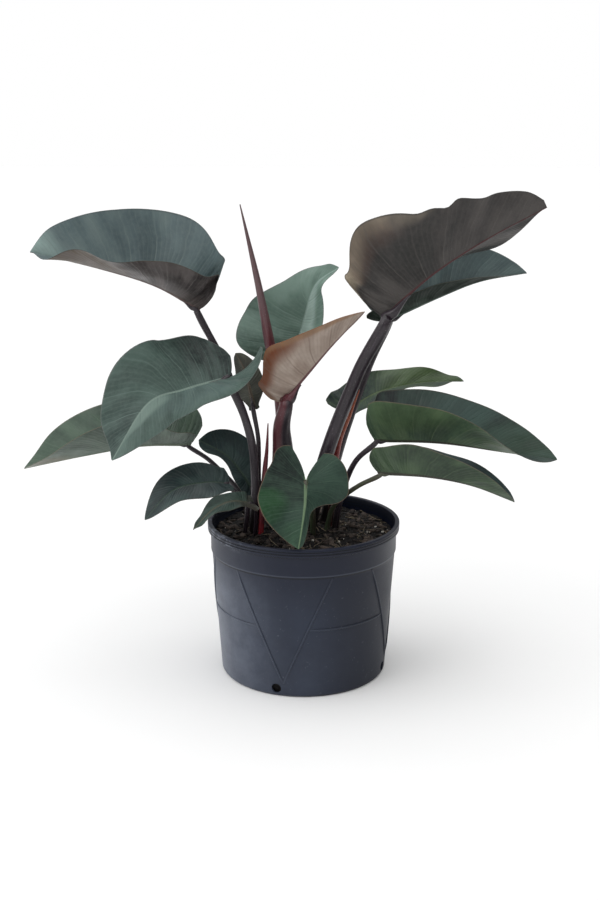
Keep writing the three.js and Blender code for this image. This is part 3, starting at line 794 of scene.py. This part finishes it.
def soil_look(name, base, other, pale, scale):
    """Rough mottled crumbs, each a little paler or darker by its own shade."""
    n = Skin(name)
    where = n.place()
    shade, *_ = n.attribute("grain")
    n.start(n.remap(n.noise(where, scale, 4, 0.7), 0.4, 0.6), base, other)
    n.tint(n.times(shade, 0.7), pale)
    grain = n.noise(where, scale * 5, 3, 0.7)
    n.wash(grain, 0.58, 0.72, 0.6, pale)
    n.bump(grain, 0.8, 0.0012)
    return n.finish(n.remap(grain, 0.3, 0.7, 0.75, 0.95), 0.3)


# Leaf skins: the colours of the base, its clouds, the veins, the margin and the midrib, then how
# strong the veins are and how rough the skin is
leaf_look("teal", (0x263739, 0x2E4041, 0x455653, 0x5E6460, 0x43554F), 0.35, 0.42)
# Slate: its pale grey-teal is partly leaf colour and partly a painted sheen of the bright sky
leaf_look(
    "slate", (0x4E5D60, 0x58686A, 0x74827F, 0x3C4644, 0x5E706C), 0.45, 0.44,
    patches=[
        (-1, 1.0, 0.12, 0.5, 1.2, 0x93ABA6, 0.9), (-1, 0.1, 0.14, 0.6, 0.6, 0x46585A, 0.6),
    ],
    shadow=0x2C383C,
)
# Ridge: the right-half patch at 0.2 is painted shade, the left-half patches at 0.5 and 0.8 are a
# painted sheen and a painted highlight along the fold, and the pale midrib colour is a painted
# highlight on the fold
leaf_look(
    "ridge", (0x33453F, 0x40534C, 0x5E7069, 0x5E6460, 0x74857C), 0.55, 0.42,
    patches=[
        (-1, 0.2, 0.36, 0.6, 1.0, 0x101A1A, 1.0), (-1, 0.9, 0.14, 0.5, 0.7, 0x22302E, 0.7),
        (1, 0.5, 0.25, 0.4, 0.5, 0x566866, 0.5), (1, 0.8, 0.14, 0.15, 0.3, 0x74877E, 0.7),
        (1, 0.98, 0.1, 0.6, 0.8, 0x6A7E76, 0.5),
    ],
    sheen_share=0.35, shine=0.22,
)
leaf_look("deep", (0x162628, 0x1F3132, 0x374A46, 0x4A463C, 0x304236), 0.35, 0.4)
# Dark skin; the narrow paler band across the left half at 0.62 is a painted highlight
leaf_look(
    "dark_sheen", (0x102320, 0x172D28, 0x2E463C, 0x4A463C, 0x304236), 0.35, 0.4,
    patches=[
        (1, 0.32, 0.26, 0.5, 1.2, 0x070E10, 1.0), (1, 0.62, 0.1, 0.5, 1.2, 0x3E544E, 0.7),
        (1, 0.95, 0.25, 0.5, 1.2, 0x18331F, 0.8),
    ],
)
leaf_look(
    "worn", (0x1C2C28, 0x263832, 0x3E5046, 0x4A463C, 0x4A4A3C), 0.35, 0.42,
    patches=[
        (1, 0.2, 0.35, 0.5, 1.0, 0x453C33, 0.85), (-1, 0.15, 0.25, 0.5, 1.0, 0x3C362E, 0.7),
    ],
)
leaf_look(
    "green", (0x20332B, 0x2A3E33, 0x42594A, 0x6E5A4C, 0x6C8264), 0.5, 0.42,
    patches=[
        (-1, 0.36, 0.36, 0.6, 1.0, 0x051412, 1.0), (-1, 0.62, 0.15, 0.85, 0.5, 0x17401F, 0.9),
        (-1, 0.92, 0.14, 0.5, 0.9, 0x3A5441, 0.7), (1, 0.3, 0.25, 0.5, 0.8, 0x34473E, 0.6),
    ],
    shine=0.2, sheen_share=0.3, thick=2.3,
)
leaf_look("grass", (0x33463A, 0x3E5244, 0x5A6E5C, 0x5E6050, 0x55664F), 0.4, 0.42)
leaf_look(
    "lime", (0x243A33, 0x34492F, 0x55694A, 0x5C5A48, 0x5A6A48), 0.4, 0.42,
    patches=[
        (1, 0.75, 0.3, 0.5, 0.9, 0x3C5224, 0.9), (1, 0.25, 0.4, 0.5, 1.2, 0x172B2B, 1.0),
        (-1, 0.25, 0.4, 0.5, 1.2, 0x172B2B, 1.0),
    ],
)
leaf_look(
    "pale", (0x5A7267, 0x667E73, 0x7E948A, 0x5E6460, 0x8EA29A), 0.3, 0.42, shadow=0x3A4A44,
    patches=[
        (-1, 0.5, 0.6, 0.2, 0.45, 0x9AADA6, 0.85), (1, 0.2, 0.3, 0.6, 0.9, 0x42574D, 0.75),
    ],
)
leaf_look("bronze", (0x6E5343, 0x8A6047, 0x9C7A5C, 0xA06A4C, 0x7A3434), 0.35, 0.36)
# On the left half, the dark patch at 0.35 is painted shade in a fold and the pale patch by the
# midrib at 0.6 is a painted highlight along the keel
leaf_look(
    "mauve", (0x38312F, 0x443D3A, 0x6A6462, 0x4E463E, 0x5A4A48), 0.5, 0.45, below=True,
    patches=[
        (1, 0.35, 0.3, 0.8, 0.55, 0x241F20, 0.95), (1, 0.6, 0.22, 0.15, 0.4, 0x605C5C, 0.8),
        (1, 0.85, 0.2, 0.6, 0.9, 0x5C5347, 0.85),
    ],
    shine=0.15,
)
leaf_look(
    "maroon", (0x343231, 0x3F3C3B, 0x56524F, 0x3E3A37, 0x4A2A2C), 0.5, 0.42, below=True,
    patches=[
        (-1, 0.3, 0.3, 1.03, 0.34, 0xAEA28E, 1.0), (-1, 0.45, 0.12, 0.85, 0.25, 0x57463F, 0.6),
        (1, 0.7, 0.5, 0.5, 1.2, 0x262423, 0.9),
    ],
    shine=0.2,
)
leaf_look("olive", (0x2C2D27, 0x373831, 0x4C4E42, 0x56503E, 0x4A4034), 0.4, 0.42, below=True)
# Near-black underside: its own dark colour with painted shade from upper_right above it mixed in
leaf_look(
    "shaded_under", (0x101913, 0x17221A, 0x38453D, 0x5C5A50, 0x59655E), 0.4, 0.55, below=True,
    shine=0.04,
)
leaf_look(
    "fresh", (0x3A4D3D, 0x465A47, 0x5E7152, 0x6A6252, 0x33302A), 0.35, 0.48, below=True,
    patches=[(-1, 0.45, 0.2, 0.7, 0.5, 0x506545, 0.6)],
    shine=0.15,
)
leaf_look("shade", (0x1E2C27, 0x28362F, 0x5C6C62, 0x5C5A50, 0x47534A), 0.5, 0.42, below=True)
leaf_look(
    "dusty", (0x3E4B42, 0x4A574D, 0x66766A, 0x6A6252, 0x55604F), 0.5, 0.44, below=True,
    patches=[(1, 0.92, 0.12, 0.5, 1.2, 0x6A6450, 0.8)],
)
leaf_look("leafy", (0x2C3B2D, 0x374836, 0x506348, 0x6A6252, 0x33302A), 0.4, 0.42, below=True)
leaf_look(
    "copper", (0x9D9085, 0xAA9C90, 0x6E5A4E, 0x7A4E30, 0x4A1F2A), 0.5, 0.4, below=True,
    patches=[
        (-1, 0.42, 0.28, 1.08, 0.5, 0x6A3410, 1.0), (-1, 0.75, 0.3, 1.0, 0.16, 0x8A6A4C, 0.8),
        (-1, 0.12, 0.16, 0.9, 0.5, 0x6E4A32, 0.8),
    ],
    shadow=0x5A4438,
)
# The near-black foot is painted shade among the stalks at the soil
stalk_look("purple", 0x1E171D, 0x2A2129, 0x4A3E4C, 0.34, foot=0x14100F)
stalk_look("greenish", 0x3A4A32, 0x40382F, 0x64685A, 0.38)
stalk_look("mauve", 0x5E2029, 0x45202A, 0x7E4A50, 0.34, tip=0x564446)
stalk_look("red", 0x6A2028, 0x561E28, 0x8A4A50, 0.34, foot=0x9E2A32)
stalk_look("sheath", 0x4E1E26, 0x1D141C, 0x6A3C44, 0.34, two_sided=True)
# The near-black lower half of the sheath is painted shade among the stalks
stalk_look("orange", 0x8A2C2E, 0x78282C, 0x9A5448, 0.34, foot=0x1C1112, foot_end=0.5, tip=0x9A4E2E)


# Leaves and stalks in place
def stalk_path(leaf, line):
    """From the soil up to the blade and on along its underside as the start of the midrib."""
    (x, y), *middle = leaf["stalk"]
    stem = Line([[x, y, STALK_FOOT], *middle, leaf["rib"][0]])
    stem_u = np.linspace(0, 1, STALK_STEPS)
    path, _ = stem.at(stem_u)
    last = leaf["radius"][-1]
    start_up = square_up(leaf["face"], line.at(np.zeros(1))[1])
    path = path - start_up * last * smooth((stem_u - 0.75) / 0.25)[:, None]
    radii = np.interp(stem_u, np.linspace(0, 1, len(leaf["radius"])), leaf["radius"])
    knee = 1 + 0.12 * np.exp(-(((1 - stem_u) * stem.length / (4 * last) - 0.8) ** 2))
    if last < THICK_STALK:
        radii = radii * knee
    fade = np.linspace(0, 1, UNDER_STEPS)[1:]
    place, along = line.at(fade * min(0.2, 6 * last / line.length))
    up = square_up(leaf["face"], along)
    small = last * (1 - 0.82 * smooth(fade))
    under = place - up * (small * smooth(2.5 * fade) + 0.4 * fade)[:, None]
    return np.vstack([path, under]), np.concatenate([radii, small])


def dress(piece, node):
    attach(piece, "root")
    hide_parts(node)


def sheath_shape(share, angle):
    """Two folded edges that run up a sheath."""
    fold = np.exp(-(((angle - 4.4) / 0.28) ** 2)) + 0.7 * np.exp(-(((angle - 5.6) / 0.2) ** 2))
    return 1 - 0.14 * fold * (1 - 0.6 * share)


def groove_shape(share, angle):
    """A shallow groove up a stalk."""
    return 1 - 0.07 * np.exp(-(((angle - 4.6) / 0.4) ** 2)) + 0 * share


def roll_shape(share, angle):
    """The loose edge of a rolled leaf, winding round it."""
    turn = (angle / (2 * np.pi) + 0.7 * share) % 1
    return 0.93 + 0.09 * smooth(turn / 0.9) * smooth((1 - turn) / 0.06)


for leaf_name, leaf in LEAVES.items():
    dress(leaf_piece(leaf_name + "_leaf", leaf), "blade_" + leaf_name)
    path, radii = stalk_path(leaf, Line(leaf["rib"]))
    skin = leaf.get("skin", "purple")
    form = (SHEATH_SIDES, SKINS[skin], sheath_shape)
    if skin != "sheath":
        form = (STALK_SIDES, SKINS[skin], groove_shape)
    dress(tube_piece(leaf_name + "_stalk", path, radii, *form), "stalk_" + leaf_name)

for spike_name, spike in SPIKES.items():
    share = np.linspace(0, 1, ROLL_STEPS)
    path, _ = Line(spike["line"]).at(share)
    radii = np.interp(share, np.linspace(0, 1, len(spike["radii"])), spike["radii"])
    skin = SKINS[spike["skin"]]
    dress(
        tube_piece(spike_name + "_roll", path, radii, ROLL_SIDES, skin, roll_shape),
        spike_name,
    )


# Pot
def wall_radius(z):
    return BASE_RADIUS + (NECK_RADIUS - BAND_STEP - BASE_RADIUS) * z / BAND_BOTTOM


def out_of_round(angle, z):
    """The small unevenness of a thin moulded wall."""
    uneven = 0.5 * np.sin(2 * angle + 0.8) + 0.3 * np.sin(3 * angle + 2)
    return uneven * np.clip(z / POT_HEIGHT, 0, 1)


# Radius past the base's and height, from the recess below round the edge
FOOT_EDGE = [(-14, 1.5), (-11, 0), (-4, 0), (-2, 0.7), (-0.7, 2.2)]
# Radius past the rim's and height above the lip's lower edge
LIP_EDGE = [
    (-1.6, 0), (-0.6, 0.5), (-0.3, 1.5), (-0.3, 3), (-1, 3.6), (-1, 4.4), (-0.2, 5),
    (-0.1, 7), (-0.7, 7.5), (-0.7, 8.1), (0, 8.6), (0, 10.6), (-0.4, 11.5), (-1.4, 12),
]
# Across a rib in widths, out in heights, and how much of each point counts as its crest, which
# sets the painted highlight on the crest and the painted shade at its sides
RIB_SECTION = [
    (-0.5, -0.4, -1), (-0.4, 0.1, -1), (-0.26, 0.8, 0.8), (-0.12, 1, 1),
    (0.12, 1, 1), (0.26, 0.8, 0.8), (0.4, 0.1, -1), (0.5, -0.4, -1),
]


def pot_profile():
    """Radius and height from the middle of the underside out, up and down the inside."""
    lip = POT_HEIGHT - LIP_HEIGHT
    inside = NECK_RADIUS - WALL
    outer = [(0, 1.5), (60, 1.5)] + [(BASE_RADIUS + r, z) for r, z in FOOT_EDGE]
    outer += [(wall_radius(z), z) for z in [4, *np.linspace(6, BAND_BOTTOM - 1, 40)]]
    outer += [
        (wall_radius(BAND_BOTTOM) + 0.3, BAND_BOTTOM - 0.3),
        (NECK_RADIUS - 0.3, BAND_BOTTOM + 0.8),
        (NECK_RADIUS, BAND_BOTTOM + 2),
        (NECK_RADIUS, lip - 2),
        (NECK_RADIUS + 0.5, lip - 0.6),
    ]
    outer += [(RIM_RADIUS + r, lip + z) for r, z in LIP_EDGE]
    inner = [(inside + 1.5, POT_HEIGHT), (inside + 0.4, POT_HEIGHT - 0.5)]
    inner += [(inside - 0.5 * k / 6, POT_HEIGHT - 2 - 6.6 * k) for k in range(6)]
    inner += [(wall_radius(BAND_BOTTOM) - WALL - 0.5, BAND_BOTTOM - 2)]
    return outer + inner + [(wall_radius(3) - WALL - 1, 3), (0, 3)]


def ring_faces(rows, sides):
    """Faces round a first point, rings of points and a last point."""
    faces = []
    top = 1 + (rows - 1) * sides
    for k in range(sides):
        n = (k + 1) % sides
        faces.append([0, 1 + n, 1 + k])
        for low in range(1, top, sides):
            faces.append([low + k, low + n, low + sides + n, low + sides + k])
        faces.append([top + sides, top + k, top + n])
    return faces


def lathe(profile, sides):
    """The profile turned once round, a little out of round."""
    points = [[0, 0, profile[0][1]]]
    angles = np.linspace(0, 2 * np.pi, sides, endpoint=False)
    for r, z in profile[1:-1]:
        reach = r + out_of_round(angles, z)
        x, y = reach * np.sin(angles), -reach * np.cos(angles)
        points += np.stack([x, y, 0 * angles + z], -1).tolist()
    points.append([0, 0, profile[-1][1]])
    return points, ring_faces(len(profile) - 2, sides)


def rib_parts(from_angle, from_z, to_angle, to_z):
    """A rounded raised rib that follows the wall."""
    along = np.array([math.radians(to_angle - from_angle) * wall_radius(from_z), to_z - from_z])
    along = along / np.linalg.norm(along)
    section = [(across * RIB_WIDTH, out * RIB_HEIGHT) for across, out, _ in RIB_SECTION]
    points, faces = [], []
    for i in range(RIB_STEPS + 1):
        k = i / RIB_STEPS
        ease = min(1.0, 8 * k, 8 * (1 - k))
        for across, out in section:
            z = from_z + (to_z - from_z) * k + across * along[0]
            angle = math.radians(from_angle + (to_angle - from_angle) * k)
            angle -= across * along[1] / wall_radius(z)
            r = wall_radius(z) + out_of_round(angle, z) + (out if out < 0 else out * ease)
            points.append([r * math.sin(angle), -r * math.cos(angle), z])
    size = len(section)
    for i in range(RIB_STEPS):
        for j in range(size):
            a, b = size * i + j, size * i + (j + 1) % size
            faces.append([a, b, b + size, a + size])
    faces.append(list(range(size - 1, -1, -1)))
    faces.append(list(range(size * RIB_STEPS, size * RIB_STEPS + size)))
    return points, faces


def drain_cutter():
    """Short rods where the drain holes go through the wall."""
    points, faces = [], []
    ring = range(DRAIN_SIDES)
    for k in range(DRAIN_COUNT):
        angle = math.radians(DRAIN_TURN + 360 * k / DRAIN_COUNT)
        out = np.array([math.sin(angle), -math.cos(angle), 0])
        side = np.array([math.cos(angle), math.sin(angle), 0])
        near = len(points)
        far = near + DRAIN_SIDES
        for reach in (BASE_RADIUS - 12, BASE_RADIUS + 12):
            for j in ring:
                turn = 2 * math.pi * j / DRAIN_SIDES
                height = DRAIN_HEIGHT + DRAIN_RADIUS * math.sin(turn)
                p = out * reach + side * DRAIN_RADIUS * math.cos(turn)
                points.append((p + np.array([0, 0, height])).tolist())
        faces.append([near + j for j in reversed(ring)])
        faces.append([far + j for j in ring])
        onward = [(j + 1) % DRAIN_SIDES for j in ring]
        faces += [[near + j, near + n, far + n, far + j] for j, n in zip(ring, onward)]
    return new_object("drain_cutter", mesh_from("drain_cutter", points, faces, False))


def pot_piece():
    """The shell with its drain holes cut and the zigzag and cross ribs laid on its wall."""
    points, faces = lathe(pot_profile(), POT_SIDES)
    shell = new_object("pot_shell", mesh_from("pot_shell", points, faces))
    cutter = drain_cutter()
    cut = shell.modifiers.new("drains", "BOOLEAN")
    cut.operation = "DIFFERENCE"
    cut.solver = "EXACT"
    cut.object = cutter
    bpy.context.view_layer.update()
    evaluated = shell.evaluated_get(bpy.context.evaluated_depsgraph_get())
    mesh = bpy.data.meshes.new_from_object(evaluated)
    mesh.name = "pot_shell"
    shell.modifiers.clear()
    shell.data = mesh
    bpy.data.objects.remove(cutter)
    build = bmesh.new()
    build.from_mesh(mesh)
    crest = [0.0] * len(build.verts)
    aside = RIB_SPAN / 2
    at_middle = aside * (RIB_MIDDLE - RIB_FOOT) / (BAND_BOTTOM - RIB_FOOT)
    for k in range(RIB_COUNT):
        middle = RIB_CENTRE + RIB_PERIOD * k
        lines = [
            (middle, RIB_FOOT, middle - aside, BAND_BOTTOM - 1),
            (middle, RIB_FOOT, middle + aside, BAND_BOTTOM - 1),
            (middle + at_middle, RIB_MIDDLE, middle + RIB_PERIOD - at_middle, RIB_MIDDLE),
        ]
        for ends in lines:
            ribs, rib_faces = rib_parts(*ends)
            made = [build.verts.new([c * MM for c in p]) for p in ribs]
            crest += [share for *_, share in RIB_SECTION] * (RIB_STEPS + 1)
            for face in rib_faces:
                build.faces.new([made[i] for i in face])
    for face in build.faces:
        face.smooth = True
        face.material_index = 0
    for edge in build.edges:
        edge.smooth = len(edge.link_faces) != 2 or edge.calc_face_angle(0) < SHARP_ANGLE
    build.to_mesh(mesh)
    build.free()
    # The crest shares that the pot skin uses for painted highlight and shade on the ribs
    add_vectors(mesh, "mould", [[c, 0, 0] for c in crest])
    mesh.materials.clear()
    mesh.materials.append(pot_look())
    return shell


dress(pot_piece(), "pot")


# Potting mix
rng = np.random.default_rng(41)


def soil_top(x, y):
    """Height of the gently uneven surface."""
    waves = np.sin(x / 17 + 1) * np.cos(y / 13) + 0.5 * np.sin(x / 7 - y / 9)
    return SOIL_TOP + 1.8 * waves


def soil_piece():
    """The plug of potting mix: a crumbly top on a plain body."""
    rings, sides = SOIL_RINGS, SOIL_SIDES
    radius = wall_radius(BAND_BOTTOM) - WALL - 1
    angles = np.linspace(0, 2 * np.pi, sides, endpoint=False)
    points = [[0, 0, float(soil_top(0, 0))]]
    for k in range(1, rings + 1):
        r = radius * k / rings
        x, y = r * np.cos(angles), r * np.sin(angles)
        rough = rng.normal(0, 1.0, sides) if k < rings else np.zeros(sides)
        z = soil_top(x, y) + rough - 2 * smooth((k / rings - 0.9) / 0.1)
        points += np.stack([x, y, z], -1).tolist()
    low = wall_radius(3) - WALL - 2.5
    for r, z in ((radius, BAND_BOTTOM), (low, 3.4)):
        points += np.stack([r * np.cos(angles), r * np.sin(angles), 0 * angles + z], -1).tolist()
    points.append([0, 0, 3.4])
    faces = [[f[0], *f[:0:-1]] for f in ring_faces(rings + 2, sides)]
    bag = Bag()
    bag.add(points, faces, (0, 0, 0))
    return bag.piece("potting_mix", soil_look("mix", 0x0B0A0B, 0x1A1718, 0x4A423E, 260))


def lump_shape():
    """A round lump of unit radius, the start of every loose bit."""
    build = bmesh.new()
    bmesh.ops.create_icosphere(build, subdivisions=2, radius=1)
    points = np.array([v.co for v in build.verts])
    faces = [[v.index for v in f.verts] for f in build.faces]
    build.free()
    return points, faces


def turned(points, yaw, tilt, roll):
    """Points turned by a roll, a tilt and a yaw."""
    for angle, (i, j) in ((roll, (1, 2)), (tilt, (0, 2)), (yaw, (0, 1))):
        c, s = math.cos(angle), math.sin(angle)
        moved = points.copy()
        moved[:, i] = c * points[:, i] - s * points[:, j]
        moved[:, j] = s * points[:, i] + c * points[:, j]
        points = moved
    return points


def scatter(count, longest, flat, power, spread, shade):
    """Loose bits that lie half sunk in the mix."""
    base, faces = lump_shape()
    bag = Bag()
    for _ in range(count):
        reach = spread * math.sqrt(rng.random())
        angle = 2 * math.pi * rng.random()
        size = longest * (0.35 + 0.65 * rng.random())
        body = np.sign(base) * np.abs(base) ** power
        body = body * (1 + 0.14 * rng.normal(0, 1, (len(base), 1)))
        body = body * np.array([size, size * (0.35 + 0.4 * rng.random()), size * flat]) / 2
        yaw = 2 * math.pi * rng.random()
        body = turned(body, yaw, 0.7 * (rng.random() - 0.5), 0.9 * (rng.random() - 0.5))
        x, y = reach * math.cos(angle), reach * math.sin(angle)
        body = body + np.array([x, y, float(soil_top(x, y)) + size * flat * 0.25])
        bag.add(body, faces, (shade * rng.random(), rng.random(), 0))
    return bag


def fibres(count):
    """Thin bowed root fibres that lie on the mix."""
    bag = Bag()
    for _ in range(count):
        reach = 122 * math.sqrt(rng.random())
        angle = 2 * math.pi * rng.random()
        yaw = 2 * math.pi * rng.random()
        length = 14 + 30 * rng.random()
        s = np.linspace(-0.5, 0.5, 12)
        bow = 5 * rng.normal()
        sag = bow * (s * s * 4)
        x = reach * math.cos(angle) + length * s * math.cos(yaw) - sag * math.sin(yaw)
        y = reach * math.sin(angle) + length * s * math.sin(yaw) + sag * math.cos(yaw)
        out = np.hypot(x, y)
        inside = np.minimum(1, 127 / np.maximum(out, 1))
        x, y = x * inside, y * inside
        z = soil_top(x, y) + 1.2 + 1.6 * np.sin(6 * s + rng.random() * 6) * rng.random()
        thick = 0.35 + 0.5 * rng.random()
        radii = thick * (1 - 0.5 * np.abs(s) * 2)
        points, faces, _ = tube_parts(np.stack([x, y, z], -1), radii, 6)
        bag.add(points, faces, (0.9 * rng.random(), 0, 0))
    return bag


dress(soil_piece(), "soil")
# Loose bits: how many, the longest, flatness, squareness, reach from the middle, shade, skin
BITS = {
    "bark_bits": (420, 15, 0.35, 0.7, 124, 0.6, ("bark", 0x131011, 0x2A2323, 0x74665C, 180)),
    "fine_bits": (500, 6, 0.6, 0.8, 127, 0.3, ("crumb", 0x141210, 0x24201D, 0x4E463E, 300)),
    "perlite_bits": (46, 5, 0.8, 1.0, 122, 0.2, ("perlite", 0xA8A49C, 0xCFCBC2, 0xE6E3DC, 300)),
}
loose = [scatter(*form).piece(name, soil_look(*skin)) for name, (*form, skin) in BITS.items()]
fibre_skin = soil_look("fibre", 0x4A4238, 0x6A5E4E, 0x9A8E78, 200)
for piece in [*loose, fibres(110).piece("root_fibres", fibre_skin)]:
    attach(piece, "root")


# Stage
FLOOR_REACH = 14.0
TENT_TOP = 1.3
TENT_LEFT = 1.0
TENT_BASE = 0.12
KEY_PLACE = (-1.5, -1.3, 2.2)
KEY_AIM = (0, 0, 0.3)
KEY_SIZE = 1.4
KEY_POWER = 8
CAMERA_PLACE = (-0.005, -1.85, 0.819)
CAMERA_PITCH = 14.86
LENS = 53.6
SENSOR = 36


def plain_floor():
    mesh = bpy.data.meshes.new("floor")
    r = FLOOR_REACH
    corners = [(-r, -r, 0), (r, -r, 0), (r, r, 0), (-r, r, 0)]
    mesh.from_pydata(corners, [], [(0, 1, 2, 3)])
    floor = new_object("floor", mesh)
    n = Skin("floor_pale")
    n.colour = n.mix(n.noise(n.place(), 3, 2), (0.87, 0.87, 0.87, 1), (0.9, 0.9, 0.9, 1))
    mesh.materials.append(n.finish(0.9, 0.1))


def soft_light():
    data = bpy.data.lights.new("key", "AREA")
    data.shape = "DISK"
    data.size = KEY_SIZE
    data.energy = KEY_POWER
    light = new_object("key", data)
    light.location = KEY_PLACE
    way = Vector(KEY_AIM) - Vector(KEY_PLACE)
    light.rotation_euler = way.to_track_quat("-Z", "Y").to_euler()


def light_tent():
    """Light all round: bright above and at the left, dim elsewhere, white to the camera."""
    world = bpy.data.worlds.new("studio")
    bpy.context.scene.world = world
    world.use_nodes = True
    n = Nodes(world.node_tree)
    way = n.add("ShaderNodeTexCoord").outputs["Generated"]
    x, _, z = n.add("ShaderNodeSeparateXYZ", {0: way}).outputs
    above = n.remap(z, 0.05, 0.95, 0.0, TENT_TOP)
    beside = n.remap(x, -0.25, -0.95, 0.0, TENT_LEFT)
    light = n.plus(n.plus(above, beside), TENT_BASE)
    seen = n.add("ShaderNodeLightPath").outputs["Is Camera Ray"]
    strength = n.add("ShaderNodeMix", {0: seen, 2: light, 3: 1.0}, data_type="FLOAT")
    ground = n.tree.nodes["Background"]
    n.put(ground.inputs[0], (1, 1, 1, 1))
    n.put(ground.inputs[1], strength.outputs[0])


def set_camera():
    data = bpy.data.cameras.new("camera")
    data.lens = LENS
    data.sensor_width = SENSOR
    data.dof.use_dof = False
    camera = new_object("camera", data)
    camera.location = CAMERA_PLACE
    camera.rotation_euler = (math.radians(90 - CAMERA_PITCH), 0, 0)
    bpy.context.scene.camera = camera
    bpy.context.scene.view_settings.view_transform = "Standard"


plain_floor()
soft_light()
light_tent()
set_camera()
